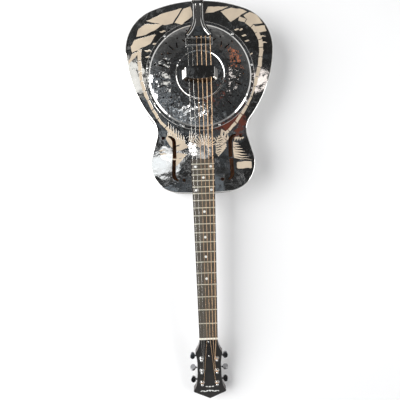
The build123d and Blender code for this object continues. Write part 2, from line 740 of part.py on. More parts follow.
def head_outline():
    """Draw the outline of the headstock: ears, waist and a pointed end."""
    with BuildLine() as edge:
        half = NUT_WIDTH / 2
        Polyline((0, 0), (half, 0), (half, 3))
        flare = TangentArc((half, 3), (33.5, 40), tangent=(0, 1))
        cove = ThreePointArc(flare @ 1, (30.4, 58), (30, 87))
        sweep_out = ThreePointArc(cove @ 1, (30.5, 112), (33, 134))
        cheek = ThreePointArc(sweep_out @ 1, (36.4, 144.5), (40.8, 152))
        corner = ThreePointArc(cheek @ 1, (41.2, 156), (38.6, 158.6))
        ridge = Line(corner @ 1, (3, HEAD_LENGTH - 1.3))
        ThreePointArc(ridge @ 1, (1.6, HEAD_LENGTH - 0.4), (0, HEAD_LENGTH))
        mirror(about=Plane.YZ)
    make_face(edge.edges())


post_places = [(side * POST_X, along) for side in (1, -1) for along in POST_ALONG]
PLATE_SCREWS = (40.5, 72.6, 108.9, 141.0)
PLATE_SCREW_X = 14.2
with BuildPart() as neck:
    with BuildSketch(Plane(origin=(0, HEEL_FACE_Y, BODY_DEPTH), x_dir=X_DIR, z_dir=(0, 1, 0))):
        neck_section(JOINT_WIDTH, HEEL_DEPTH)
    for along in (12, 25, 40, HEEL_RUN):
        swell = (HEEL_DEPTH - NECK_DEPTH_HEEL) * (1 - along / HEEL_RUN) ** 3
        with BuildSketch(section_plane(along)):
            neck_section(neck_width(along), NECK_DEPTH_HEEL + swell)
    loft()
    with BuildSketch(section_plane(HEEL_RUN)):
        neck_section(neck_width(HEEL_RUN), NECK_DEPTH_HEEL)
    with BuildSketch(section_plane(NUT_ALONG + NUT_LENGTH)):
        neck_section(NUT_WIDTH, NECK_DEPTH_NUT)
    loft(ruled=True)
    with BuildSketch(section_plane(NUT_ALONG - 8)):
        neck_section(NUT_WIDTH, NECK_DEPTH_NUT)
    with BuildSketch(Plane(origin=head_point(0, 34, 0), x_dir=X_DIR, z_dir=HEAD_RUN)):
        neck_section(NUT_WIDTH, HEAD_THICKNESS - 0.2)
    loft()
    with BuildSketch(HEAD_PLANE):
        head_outline()
    extrude(amount=-HEAD_THICKNESS)
    with BuildSketch(HEAD_PLANE):
        with Locations(*post_places):
            Circle(4.6)
        with Locations(*[(side * PLATE_SCREW_X, along) for side in (1, -1) for along in PLATE_SCREWS]):
            Circle(1.1)
    extrude(amount=-40, mode=Mode.SUBTRACT)
    # Channel for the truss rod, open at the headstock under its cover.
    with BuildSketch(section_plane(6)):
        with Locations((0, 4)):
            Rectangle(6.4, 10)
    extrude(amount=NUT_ALONG - 2, mode=Mode.SUBTRACT)
    with BuildSketch(section_plane(NUT_ALONG + 3)):
        with Locations((0, 4)):
            Rectangle(8.4, 10)
    extrude(amount=26, mode=Mode.SUBTRACT)
    with BuildSketch(HEAD_PLANE):
        with Locations((0, 48)):
            Circle(1.0)
    extrude(amount=-8, mode=Mode.SUBTRACT)
finish(neck, "neck")

ROD_RADIUS = 2.5
ROD_UP = -6.0
with BuildPart() as truss_rod:
    with BuildSketch(Plane(origin=neck_point(0, 9, ROD_UP), x_dir=X_DIR, z_dir=NECK_RUN)):
        Circle(ROD_RADIUS)
    extrude(amount=NUT_ALONG + 2)
    with BuildSketch(Plane(origin=neck_point(0, NUT_ALONG + 7, ROD_UP), x_dir=X_DIR, z_dir=NECK_RUN)):
        RegularPolygon(3.3, 6)
    extrude(amount=9)
    with BuildSketch(Plane(origin=neck_point(0, 9, ROD_UP), x_dir=X_DIR, z_dir=NECK_RUN)):
        Rectangle(5.6, 5.6)
    extrude(amount=8)
finish(truss_rod, "truss_rod")


# ---- Fretboard, binding, frets, dots and nut ----
def board_blank(inset, far_end):
    """Fretboard-shaped block, narrowed by inset at its sides and at the body end."""
    lift = SEAM_GAP
    start = BOARD_END + inset
    far = neck_point(0, far_end, lift)
    far_top = neck_point(0, far_end, BOARD_THICKNESS)
    near_top = neck_point(0, start, BOARD_THICKNESS)
    near_y = JOINT_Y + start
    with BuildPart() as blank:
        with BuildSketch(Plane.YZ):
            with BuildLine():
                Polyline(
                    (far.Y, far.Z),
                    (far_top.Y, far_top.Z),
                    (near_top.Y, near_top.Z),
                    (near_y, BODY_DEPTH + lift),
                    (JOINT_Y, BODY_DEPTH + lift),
                    close=True,
                )
            make_face()
        extrude(amount=JOINT_WIDTH, both=True)
        with BuildSketch(Plane.XY):
            with BuildLine():
                Polyline(
                    (neck_width(start) / 2 - inset, JOINT_Y + start - 3),
                    (neck_width(far_end) / 2 - inset, JOINT_Y + far_end + 3),
                    (inset - neck_width(far_end) / 2, JOINT_Y + far_end + 3),
                    (inset - neck_width(start) / 2, JOINT_Y + start - 3),
                    close=True,
                )
            make_face()
        extrude(amount=2 * BODY_DEPTH, mode=Mode.INTERSECT)
    return blank.part


DOT_RADIUS = 3.1
DOT_DEPTH = 1.2
SINGLE_DOTS = (5, 7, 9, 12, 17)
DOUBLE_DOTS = (15, 19)


def dot_places():
    """Places of the inlay dots across and along the neck."""
    places = [(0, (fret_along(n) + fret_along(n - 1)) / 2) for n in SINGLE_DOTS]
    for n in DOUBLE_DOTS:
        middle = (fret_along(n) + fret_along(n - 1)) / 2
        places += [(-DOUBLE_DOT_X, middle), (DOUBLE_DOT_X, middle)]
    return places


board_core = board_blank(BINDING + SEAM_GAP, NUT_ALONG - SEAM_GAP)
BOARD_TOP_PLANE = Plane(origin=neck_point(0, 0, BOARD_THICKNESS), x_dir=X_DIR, z_dir=NECK_UP)
with BuildPart() as fretboard:
    add(board_core)
    with BuildSketch(BOARD_TOP_PLANE):
        with Locations(*dot_places()):
            Circle(DOT_RADIUS + SEAM_GAP)
    extrude(amount=-DOT_DEPTH - SEAM_GAP, mode=Mode.SUBTRACT)
finish(fretboard, "fretboard")

binding_outer = board_blank(0, NUT_ALONG - SEAM_GAP)
binding_inner = board_blank(BINDING, NUT_ALONG + 10)
binding_under = board_blank(BINDING, NUT_ALONG + 10).moved(Location((0, 0, -1.5)))
with BuildPart() as fretboard_binding:
    add(binding_outer)
    add(binding_inner, mode=Mode.SUBTRACT)
    add(binding_under, mode=Mode.SUBTRACT)
finish(fretboard_binding, "fretboard_binding")

with BuildPart() as dot_inlays:
    with BuildSketch(BOARD_TOP_PLANE):
        with Locations(*dot_places()):
            Circle(DOT_RADIUS)
    extrude(amount=-DOT_DEPTH)
finish(dot_inlays, "dot_inlays")

FRET_HALF_WIDTH = 1.2
FRET_HEIGHT = 1.1
with BuildPart() as frets:
    for number in range(1, FRET_COUNT + 1):
        seat = neck_point(0, fret_along(number), BOARD_THICKNESS + 0.03)
        with BuildSketch(Plane(origin=seat, x_dir=NECK_RUN, z_dir=X_DIR)):
            with BuildLine():
                crown = ThreePointArc((-FRET_HALF_WIDTH, 0), (0, FRET_HEIGHT), (FRET_HALF_WIDTH, 0))
                Line(crown @ 0, crown @ 1)
            make_face()
        extrude(amount=neck_width(fret_along(number)) / 2 - 0.4, both=True)
finish(frets, "frets")

with BuildPart() as nut:
    with BuildSketch(Plane(origin=neck_point(0, NUT_ALONG, 0), x_dir=NECK_RUN, z_dir=X_DIR)):
        with BuildLine():
            Polyline(
                (0.1, SEAM_GAP),
                (0.1, STRING_UP_NUT - 0.5),
                (0.7, STRING_UP_NUT),
                (1.6, STRING_UP_NUT - 0.15),
                (NUT_LENGTH - 0.3, STRING_UP_NUT - 1.5),
                (NUT_LENGTH, STRING_UP_NUT - 2.6),
                (NUT_LENGTH, SEAM_GAP),
                close=True,
            )
        make_face()
    extrude(amount=NUT_WIDTH / 2, both=True)
    for slot in string_slots:
        add(slot, mode=Mode.SUBTRACT)
finish(nut, "nut")

# ---- Headstock facing and truss-rod cover ----
with BuildPart() as headstock_veneer:
    with BuildSketch(HEAD_PLANE.offset(SEAM_GAP)):
        head_outline()
        with Locations(*post_places):
            Circle(4.6, mode=Mode.SUBTRACT)
        with Locations((0, 12)):
            Rectangle(8.4, 26, mode=Mode.SUBTRACT)
        with Locations((0, 48)):
            Circle(1.0, mode=Mode.SUBTRACT)
    extrude(amount=VENEER)
    with BuildSketch(section_plane(NUT_ALONG + NUT_LENGTH)):
        Rectangle(80, 20)
    extrude(amount=-12, mode=Mode.SUBTRACT)
finish(headstock_veneer, "headstock_veneer")

FACE_UP = VENEER + 2 * SEAM_GAP
COVER_PLATE_UP = 1.4
ROD_COVER_SCREWS = ((0, 7), (0, 48))
with BuildPart() as truss_rod_cover:
    with BuildSketch(HEAD_PLANE.offset(FACE_UP)):
        with BuildLine():
            base = Polyline((0, 2.5), (9.5, 2.5), (9.5, 8))
            side_curve = ThreePointArc(base @ 1, (6.6, 20), (5.6, 34))
            ThreePointArc(side_curve @ 1, (4.6, 51), (0, 55))
            mirror(about=Plane.YZ)
        make_face()
        with Locations(*ROD_COVER_SCREWS):
            Circle(1.0, mode=Mode.SUBTRACT)
    extrude(amount=COVER_PLATE_UP)
finish(truss_rod_cover, "truss_rod_cover")


def small_screw(length):
    """Small dome-headed screw, head up, with the seat of its head at the origin."""
    with BuildPart() as screw:
        with BuildSketch(Plane.XZ):
            with BuildLine():
                Polyline((0, 1.1), (0, -length), (0.9, -length), (0.9, 0.05), (2.0, 0.05))
                ThreePointArc((2.0, 0.05), (1.3, 0.8), (0, 1.1))
            make_face()
        revolve(axis=Axis.Z)
        with Locations((0, 0, 1.1)):
            Box(5, 0.5, 0.9, mode=Mode.SUBTRACT)
            Box(0.5, 5, 0.9, mode=Mode.SUBTRACT)
    return screw.part


PLATE_SHEET = 1.0
BACK_UP = -HEAD_THICKNESS - SEAM_GAP
cover_screw = small_screw(3.0)
plate_screw = small_screw(8.0)
with BuildPart() as headstock_screws:
    for across, along in ROD_COVER_SCREWS:
        place = head_point(across, along, FACE_UP + COVER_PLATE_UP)
        seat = Plane(origin=place, x_dir=X_DIR, z_dir=HEAD_UP)
        add(cover_screw.moved(seat.location))
    for side in (1, -1):
        for along in PLATE_SCREWS:
            place = head_point(side * PLATE_SCREW_X, along, BACK_UP - PLATE_SHEET)
            seat = Plane(origin=place, x_dir=X_DIR, z_dir=-HEAD_UP)
            add(plate_screw.moved(seat.location))
finish(headstock_screws, "headstock_screws")

# ---- Tuners ----
PLATE_MIDDLE = (PLATE_SCREWS[0] + PLATE_SCREWS[-1]) / 2
LUG_REACH = 6.7
LUG_SHEET = 1.2
with BuildPart() as tuner_plates:
    for side in (1, -1):
        with BuildSketch(HEAD_PLANE.offset(BACK_UP - PLATE_SHEET)):
            with Locations((side * 19.4, PLATE_MIDDLE)):
                RectangleRounded(16.4, PLATE_SCREWS[-1] - PLATE_SCREWS[0] + 11, 3.5)
            with Locations(*[(side * POST_X, along) for along in POST_ALONG]):
                Circle(POST_RADIUS + RUNNING, mode=Mode.SUBTRACT)
            with Locations(*[(side * PLATE_SCREW_X, along) for along in PLATE_SCREWS]):
                Circle(1.1, mode=Mode.SUBTRACT)
        extrude(amount=PLATE_SHEET)
        for along in POST_ALONG:
            for reach in (-LUG_REACH, LUG_REACH):
                foot = head_point(side * POST_X + reach - LUG_SHEET / 2, along + WORM_OFFSET, WORM_UP)
                with BuildSketch(Plane(origin=foot, x_dir=HEAD_RUN, z_dir=X_DIR)):
                    Circle(3.0)
                    with Locations((0, 1.7)):
                        Rectangle(6, 3.0)
                    Circle(WORM_SHAFT_RADIUS + RUNNING, mode=Mode.SUBTRACT)
                extrude(amount=LUG_SHEET)
finish(tuner_plates, "tuner_plates")

with BuildPart() as tuner_bushings:
    for across, along in post_places:
        with BuildSketch(HEAD_PLANE.offset(-6)):
            with Locations((across, along)):
                Circle(4.55)
        extrude(amount=6 + FACE_UP)
        with BuildSketch(HEAD_PLANE.offset(FACE_UP)):
            with Locations((across, along)):
                RegularPolygon(6.7, 6)
        extrude(amount=0.9)
        with BuildSketch(HEAD_PLANE.offset(FACE_UP + 0.9)):
            with Locations((across, along)):
                Circle(5.2)
        extrude(amount=1.1, taper=20)
    with BuildSketch(HEAD_PLANE.offset(-7)):
        with Locations(*post_places):
            Circle(POST_RADIUS + RUNNING)
    extrude(amount=20, mode=Mode.SUBTRACT)
finish(tuner_bushings, "tuner_bushings")


def worm_shaft():
    """Worm with its right-handed thread, along +Z, with a thread crest at +X when Z is 0."""
    half_thread = WORM_TURNS * WORM_PITCH / 2
    with BuildPart() as shaft:
        with BuildLine() as path:
            Helix(WORM_PITCH, 2 * half_thread, WORM_ROOT_RADIUS, center=(0, 0, -half_thread))
        with BuildSketch(Plane(origin=path.line @ 0, x_dir=(1, 0, 0), z_dir=path.line % 0)):
            Polygon(
                (-0.5, -0.37),
                (0.65, -0.3),
                (WORM_THREAD, -0.2),
                (WORM_THREAD, 0.2),
                (0.65, 0.3),
                (-0.5, 0.37),
                align=None,
            )
        sweep(is_frenet=True)
        with Locations((0, 0, -LUG_REACH - 1.2)):
            Cylinder(WORM_ROOT_RADIUS, 2 * LUG_REACH, align=(Align.CENTER, Align.CENTER, Align.MIN))
    return shaft.part


def oval_button(side, turn, place):
    """Oval tuner button at the outer end of a worm shaft, turned about the shaft."""
    angle = math.radians(turn)
    across = HEAD_RUN * math.cos(angle) + HEAD_UP * math.sin(angle)
    outward = X_DIR * side
    broad = Plane(origin=place, x_dir=across, z_dir=across.cross(outward))
    stem = Plane(origin=place, x_dir=across, z_dir=outward)
    out = BUTTON_OUT - POST_X
    with BuildPart() as button:
        with BuildSketch(broad):
            with Locations((0, out - 0.8)):
                Ellipse(8.5, 6.9)
        extrude(amount=3.1, both=True)
        fillet(button.edges(), 1.5)
        with BuildSketch(stem.offset(out - 10.5)):
            Circle(2.7)
        extrude(amount=7, taper=-2)
        with BuildSketch(stem.offset(out - 11)):
            Circle(WORM_SHAFT_RADIUS + RUNNING)
        extrude(amount=9, mode=Mode.SUBTRACT)
    return button.part


worm_thread = worm_shaft()
for number in range(1, 7):
    side = 1 if number <= 3 else -1
    row = number - 1 if number <= 3 else 6 - number
    post_at = (side * POST_X, POST_ALONG[row])
    worm_at = head_point(post_at[0], post_at[1] + WORM_OFFSET, WORM_UP)

    with BuildPart() as tuner_worm:
        add(worm_thread.moved(Plane(origin=worm_at, x_dir=-HEAD_RUN, z_dir=X_DIR).location))
        across_worm = Plane(origin=worm_at, x_dir=HEAD_RUN, z_dir=X_DIR * side)
        with BuildSketch(across_worm.offset(-LUG_REACH - 1.2)):
            Circle(WORM_SHAFT_RADIUS)
        extrude(amount=3.4)
        with BuildSketch(across_worm.offset(WORM_HALF_LENGTH)):
            Circle(WORM_SHAFT_RADIUS)
        extrude(amount=BUTTON_OUT - POST_X - WORM_HALF_LENGTH - 3.5)
        with BuildSketch(across_worm.offset(LUG_REACH + 1.0)):
            Circle(WORM_COLLAR_RADIUS)
        extrude(amount=WORM_COLLAR)
    finish(tuner_worm, f"tuner_worm_{number}")

    with BuildPart() as tuner_button:
        add(oval_button(side, BUTTON_TURNS[number - 1], worm_at))
    finish(tuner_button, f"tuner_button_{number}")

    with BuildPart() as tuner_gear:
        gear_low = WORM_UP - GEAR_FACE / 2
        with BuildSketch(HEAD_PLANE.offset(gear_low)):
            with Locations(post_at):
                Circle(GEAR_ROOT_RADIUS)
                with PolarLocations(0, GEAR_TEETH):
                    Polygon(
                        (GEAR_ROOT_RADIUS - 0.2, -0.45),
                        (GEAR_PITCH_RADIUS, -0.34),
                        (GEAR_TIP_RADIUS, -0.22),
                        (GEAR_TIP_RADIUS, 0.22),
                        (GEAR_PITCH_RADIUS, 0.34),
                        (GEAR_ROOT_RADIUS - 0.2, 0.45),
                        align=None,
                    )
                Circle(POST_TENON_RADIUS + RUNNING, mode=Mode.SUBTRACT)
        extrude(amount=GEAR_FACE)
        with BuildSketch(HEAD_PLANE.offset(gear_low - GEAR_SCREW_HEAD)):
            with Locations(post_at):
                Circle(GEAR_SCREW_RADIUS)
        extrude(amount=GEAR_SCREW_HEAD - RUNNING)
        with BuildSketch(HEAD_PLANE.offset(gear_low - GEAR_SCREW_HEAD)):
            with Locations(post_at):
                Rectangle(2 * GEAR_SCREW_RADIUS + 1, 0.8)
        extrude(amount=GEAR_SCREW_HEAD / 2, mode=Mode.SUBTRACT)
    finish(tuner_gear, f"tuner_gear_{number}")

    with BuildPart() as tuner_post:
        base = head_point(*post_at, 0)
        with BuildSketch(Plane(origin=base, x_dir=X_DIR, z_dir=-HEAD_RUN)):
            with BuildLine():
                Polyline(
                    (0, gear_low + RUNNING),
                    (POST_TENON_RADIUS, gear_low + RUNNING),
                    (POST_TENON_RADIUS, gear_low + GEAR_FACE + RUNNING),
                    (POST_RADIUS, gear_low + GEAR_FACE + RUNNING),
                    (POST_RADIUS, POST_WAIST[0] - 1),
                    (POST_WAIST_RADIUS, POST_WAIST[0]),
                    (POST_WAIST_RADIUS, POST_WAIST[1]),
                    (POST_RADIUS, POST_WAIST[1] + 1),
                    (POST_RADIUS, POST_TOP - POST_CHAMFER),
                    (POST_RADIUS - POST_CHAMFER, POST_TOP),
                    (0, POST_TOP),
                    close=True,
                )
            make_face()
        revolve(axis=Axis(base, HEAD_UP))
        hole = head_point(post_at[0], post_at[1], STRING_UP_POST)
        with BuildSketch(Plane(origin=hole, z_dir=HEAD_RUN)):
            Circle(POST_HOLE_RADIUS)
        extrude(amount=2 * POST_RADIUS, both=True, mode=Mode.SUBTRACT)
    finish(tuner_post, f"tuner_post_{number}")

# ---- Strings ----
for number in range(1, 7):
    with BuildPart() as string:
        add(string_core(number))
        ball = string_route(number)[0]
        with BuildSketch(Plane.YZ.offset(ball.X - 1.7)):
            with Locations((ball.Y, ball.Z)):
                Circle(BALL_RADIUS)
        extrude(amount=3.4)
    finish(string, f"string_{number}")
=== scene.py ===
import json
import math

import bpy
from mathutils import Matrix, Vector


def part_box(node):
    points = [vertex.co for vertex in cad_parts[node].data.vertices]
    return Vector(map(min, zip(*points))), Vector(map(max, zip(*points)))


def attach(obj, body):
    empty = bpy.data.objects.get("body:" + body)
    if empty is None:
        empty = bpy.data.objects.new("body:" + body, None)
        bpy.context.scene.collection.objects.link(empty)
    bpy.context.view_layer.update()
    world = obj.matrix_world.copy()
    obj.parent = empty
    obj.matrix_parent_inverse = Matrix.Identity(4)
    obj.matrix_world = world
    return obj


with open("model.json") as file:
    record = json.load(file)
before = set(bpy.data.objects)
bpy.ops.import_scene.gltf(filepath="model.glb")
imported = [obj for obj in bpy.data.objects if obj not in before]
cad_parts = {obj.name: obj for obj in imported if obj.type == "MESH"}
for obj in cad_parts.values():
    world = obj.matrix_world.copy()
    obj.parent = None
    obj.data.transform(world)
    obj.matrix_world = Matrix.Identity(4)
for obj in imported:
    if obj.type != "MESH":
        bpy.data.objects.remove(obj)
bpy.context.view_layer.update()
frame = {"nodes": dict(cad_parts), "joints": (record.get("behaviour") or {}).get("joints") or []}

MM = 0.001

# ---- Places read from the frame ----
JOINTS = {joint["name"]: joint for joint in frame["joints"]}
HEAD_UP = Vector(JOINTS["post_1_turn"]["axis"])
ACROSS = Vector((1, 0, 0))
HEAD_RUN = HEAD_UP.cross(ACROSS).normalized()
TOP_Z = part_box("body_top")[1].z
BACK_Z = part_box("body_back")[0].z
COVER_Y = (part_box("cover_plate")[0].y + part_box("cover_plate")[1].y) / 2


# ---- Camera, floor and light ----
def add_camera():
    """Camera straight above the top, with the tail at the top of the frame."""
    roll = math.radians(1.86)
    right = Vector((-math.cos(roll), math.sin(roll), 0))
    up = Vector((-math.sin(roll), -math.cos(roll), 0))
    back = Vector((0, 0, 1))
    bpy.ops.object.camera_add()
    camera = bpy.context.object
    camera.name = "camera"
    camera.matrix_world = Matrix.Translation((0.0098, 0.2987, TOP_Z + 0.850)) @ Matrix(
        (right, up, back)
    ).transposed().to_4x4()
    camera.data.lens = 31.5
    camera.data.sensor_width = 36
    camera.data.clip_end = 50
    bpy.context.scene.camera = camera


def add_panel(name, place, target, size, watts, colour=(1, 1, 1)):
    """Soft rectangular light at place, facing target, size (width, height) in metres."""
    bpy.ops.object.light_add(type="AREA", location=place)
    light = bpy.context.object
    light.name = name
    light.rotation_euler = (Vector(target) - Vector(place)).to_track_quat("-Z", "Y").to_euler()
    light.data.shape = "RECTANGLE"
    light.data.size, light.data.size_y = size
    light.data.energy = watts
    light.data.color = colour
    return light


def add_lights():
    """Soft panels round a dark ceiling, and small cards for the highlights on the plating."""
    middle = (0, 0.25, TOP_Z)
    add_panel("panel_treble", (1.8, 0.2, 1.5), middle, (2.3, 2.0), 82)
    add_panel("panel_bass", (-1.9, 0.5, 1.5), middle, (1.4, 1.0), 20)
    for name, place, size, watts, colour in CARDS:
        card = add_panel(name, place, (place[0] * 0.4, place[1] * 0.4, TOP_Z), size, watts, colour)
        card.data.shape = "ELLIPSE"


# Cards above the camera: place, size, power and colour.
CARDS = (
    ("card_upper_bout", (0.28, 0.05, 1.62), (0.17, 0.27), 0.110, (0.95, 0.98, 1.0)),
    ("card_upper_side", (0.20, -0.03, 1.62), (0.06, 0.13), 0.014, (0.98, 0.99, 1.0)),
    ("card_cover", (0.47, -0.56, 1.60), (0.17, 0.28), 0.12, (1.0, 1.0, 0.97)),
    ("card_bass", (-0.43, -0.50, 1.60), (0.08, 0.12), 0.03, (1.0, 0.92, 0.89)),
    ("card_lamp", (0.060, -0.060, 1.62), (0.07, 0.035), 0.065, (1.0, 1.0, 1.0)),
    ("card_board", (-0.02, -0.02, 1.62), (0.10, 0.08), 0.012, (1.0, 0.98, 0.94)),
)


# Coloured places on the ceiling: direction, radius and colour.
CEILING_PATCHES = (
    ((-0.10, -0.21, 0.97), 0.034, (0.16, 0.05, 0.034, 1)),
    ((-0.28, -0.46, 0.84), 0.045, (0.55, 0.20, 0.11, 1)),
)


def add_world():
    """Pale round the horizon, and a dark, softly mottled ceiling overhead."""
    world = bpy.data.worlds.new("studio")
    bpy.context.scene.world = world
    world.use_nodes = True
    tree = world.node_tree
    tree.nodes.clear()
    where = add(tree, "ShaderNodeTexCoord").outputs["Generated"]
    parts = add(tree, "ShaderNodeSeparateXYZ", {0: where}).outputs
    ramp = add(tree, "ShaderNodeValToRGB", {0: parts["Z"]})
    shades = ((0.0, 0.9), (0.3, 0.85), (0.55, 0.36), (0.75, 0.09), (0.9, 0.02))
    ramp.color_ramp.elements[0].position = shades[0][0]
    ramp.color_ramp.elements[0].color = (shades[0][1],) * 3 + (1,)
    ramp.color_ramp.elements[1].position = shades[-1][0]
    ramp.color_ramp.elements[1].color = (shades[-1][1],) * 3 + (1,)
    for position, shade in shades[1:-1]:
        ramp.color_ramp.elements.new(position).color = (shade,) * 3 + (1,)
    overhead = spread(tree, parts["Z"], 0.7, 0.88, 0.0, 1.0)
    lit_side = spread(tree, calc(tree, "ADD", parts["X"], parts["Y"]), -0.25, 0.2, 0.16, 1.0)
    cloud = add(tree, "ShaderNodeTexNoise", {"Vector": where, "Scale": 16.0, "Detail": 5.0}).outputs[0]
    cool = both(tree, spread(tree, cloud, 0.50, 0.64, 0.0, 1.0), lit_side, overhead)
    ceiling = blend(tree, cool, ramp.outputs["Color"], (0.30, 0.35, 0.40, 1))
    fleck = add(tree, "ShaderNodeTexNoise", {"Vector": where, "Scale": 52.0, "Detail": 3.0}).outputs[0]
    sparks = both(tree, spread(tree, fleck, 0.58, 0.66, 0.0, 1.0), lit_side, overhead)
    ceiling = blend(tree, sparks, ceiling, (0.95, 0.97, 1.0, 1))
    ragged = calc(tree, "MULTIPLY", calc(tree, "SUBTRACT", cloud, 0.5), 0.12)
    for towards, radius, colour in CEILING_PATCHES:
        away = add(tree, "ShaderNodeVectorMath", {0: where, 1: towards}, operation="DISTANCE").outputs["Value"]
        edge = spread(tree, calc(tree, "ADD", away, ragged), radius * 0.8, radius, 1.0, 0.0)
        ceiling = blend(tree, edge, ceiling, colour)
    sky = add(tree, "ShaderNodeBackground", {"Color": ceiling})
    sky.inputs["Strength"].default_value = 1.0
    ground = add(tree, "ShaderNodeOutputWorld")
    tree.links.new(sky.outputs[0], ground.inputs["Surface"])


# ---- Node helpers ----
def add(tree, kind, sockets=None, **settings):
    """Add a node; sockets maps an input's name or number to a value or another socket."""
    made = tree.nodes.new(kind)
    for key, value in settings.items():
        setattr(made, key, value)
    for key, value in (sockets or {}).items():
        if isinstance(value, bpy.types.NodeSocket):
            tree.links.new(value, made.inputs[key])
        else:
            made.inputs[key].default_value = value
    return made


def calc(tree, operation, *values):
    """Math node on values or sockets; gives its output socket."""
    return add(tree, "ShaderNodeMath", dict(enumerate(values)), operation=operation).outputs[0]


def either(tree, first, second):
    """The larger of two masks."""
    return calc(tree, "MAXIMUM", first, second)


def both(tree, *masks):
    """Product of masks."""
    result = masks[0]
    for mask in masks[1:]:
        result = calc(tree, "MULTIPLY", result, mask)
    return result


def blend(tree, factor, first, second):
    """Mix of two colours or colour sockets."""
    made = add(tree, "ShaderNodeMix", data_type="RGBA")
    for slot, value in ((0, factor), (6, first), (7, second)):
        if isinstance(value, bpy.types.NodeSocket):
            tree.links.new(value, made.inputs[slot])
        else:
            made.inputs[slot].default_value = value
    return made.outputs[2]


def spread(tree, value, low, high, new_low, new_high):
    """Map a value's range to another, clamped."""
    sockets = {0: value, 1: low, 2: high, 3: new_low, 4: new_high}
    return add(tree, "ShaderNodeMapRange", sockets).outputs[0]


def new_group(name, inputs, outputs):
    """Empty shader node group; gives the tree, its input sockets and its output node."""
    tree = bpy.data.node_groups.new(name, "ShaderNodeTree")
    for label, kind, start in inputs:
        socket = tree.interface.new_socket(label, in_out="INPUT", socket_type=kind)
        socket.default_value = start
    for label, kind in outputs:
        tree.interface.new_socket(label, in_out="OUTPUT", socket_type=kind)
    entry = tree.nodes.new("NodeGroupInput")
    leave = tree.nodes.new("NodeGroupOutput")
    return tree, entry.outputs, leave.inputs


def use(tree, group, **values):
    """Place a group in a tree, with its inputs by name."""
    made = tree.nodes.new("ShaderNodeGroup")
    made.node_tree = group
    for key, value in values.items():
        socket = made.inputs[key.replace("_", " ")]
        if isinstance(value, bpy.types.NodeSocket):
            tree.links.new(value, socket)
        else:
            socket.default_value = value
    return made.outputs


NUMBER = "NodeSocketFloat"


# ---- Shared effects ----
def smudge_group():
    """Handling marks on polished metal: soft smudges and fine hairline scratches."""
    tree, entry, leave = new_group(
        "handling_marks", [("Size", NUMBER, 30.0)], [("Smudge", NUMBER), ("Scratch", NUMBER)]
    )
    where = add(tree, "ShaderNodeTexCoord").outputs["Object"]
    cloud = add(tree, "ShaderNodeTexNoise", {"Vector": where, "Scale": entry["Size"], "Detail": 5.0})
    tree.links.new(spread(tree, cloud.outputs[0], 0.42, 0.75, 0.0, 1.0), leave["Smudge"])
    stretched = add(tree, "ShaderNodeMapping", {"Vector": where, "Scale": (1900, 60, 300)})
    stretched.inputs["Rotation"].default_value = (0.2, 0.1, 0.7)
    lines = add(tree, "ShaderNodeTexNoise", {"Vector": stretched.outputs[0], "Scale": 1.0, "Detail": 2.0})
    tree.links.new(spread(tree, lines.outputs[0], 0.66, 0.74, 0.0, 1.0), leave["Scratch"])
    return tree


def ripple_group():
    """Slow unevenness of pressed and polished sheet, as a height."""
    tree, entry, leave = new_group(
        "sheet_unevenness", [("Size", NUMBER, 18.0)], [("Height", NUMBER)]
    )
    where = add(tree, "ShaderNodeTexCoord").outputs["Object"]
    slow = add(tree, "ShaderNodeTexNoise", {"Vector": where, "Scale": entry["Size"], "Detail": 1.5})
    quick = add(tree, "ShaderNodeTexNoise", {"Vector": where, "Detail": 2.0})
    tree.links.new(calc(tree, "MULTIPLY", entry["Size"], 4.0), quick.inputs["Scale"])
    small = calc(tree, "MULTIPLY", quick.outputs[0], 0.16)
    tree.links.new(calc(tree, "ADD", slow.outputs[0], small), leave["Height"])
    return tree


def grain_group():
    """Wood grain along Y: streaks, pores and a slow change of colour."""
    tree, entry, leave = new_group(
        "wood_grain",
        [("Streak", NUMBER, 260.0), ("Stretch", NUMBER, 0.05)],
        [("Streaks", NUMBER), ("Pores", NUMBER), ("Patches", NUMBER)],
    )
    where = add(tree, "ShaderNodeTexCoord").outputs["Object"]
    scale = add(tree, "ShaderNodeCombineXYZ", {0: 1.0, 1: entry["Stretch"], 2: 1.0}).outputs[0]
    along = add(tree, "ShaderNodeVectorMath", {0: where, 1: scale}, operation="MULTIPLY").outputs[0]
    streaks = add(tree, "ShaderNodeTexNoise", {"Vector": along, "Scale": entry["Streak"], "Detail": 4.0})
    streaks.inputs["Distortion"].default_value = 0.6
    pores = add(tree, "ShaderNodeTexNoise", {"Vector": along, "Detail": 1.0})
    tree.links.new(calc(tree, "MULTIPLY", entry["Streak"], 7.0), pores.inputs["Scale"])
    patches = add(tree, "ShaderNodeTexNoise", {"Vector": where, "Scale": 22.0, "Detail": 2.0})
    tree.links.new(spread(tree, streaks.outputs[0], 0.3, 0.72, 0.0, 1.0), leave["Streaks"])
    tree.links.new(spread(tree, pores.outputs[0], 0.62, 0.7, 0.0, 1.0), leave["Pores"])
    tree.links.new(patches.outputs[0], leave["Patches"])
    return tree


# ---- Etched leaf work of the top ----
# Arcs of the body's outline, tail to shoulder: centre, radius, the angle at which each one
# ends, counted from straight back towards the tail, and the length run before it. In mm.
OUTLINE_ARCS = (
    (0.0, 130.8, 317.7, 20.8, 0.0),
    (75.7, -68.5, 104.5, 92.2, 115.3),
    (-108.7, -75.6, 289.0, 127.7, 245.5),
)


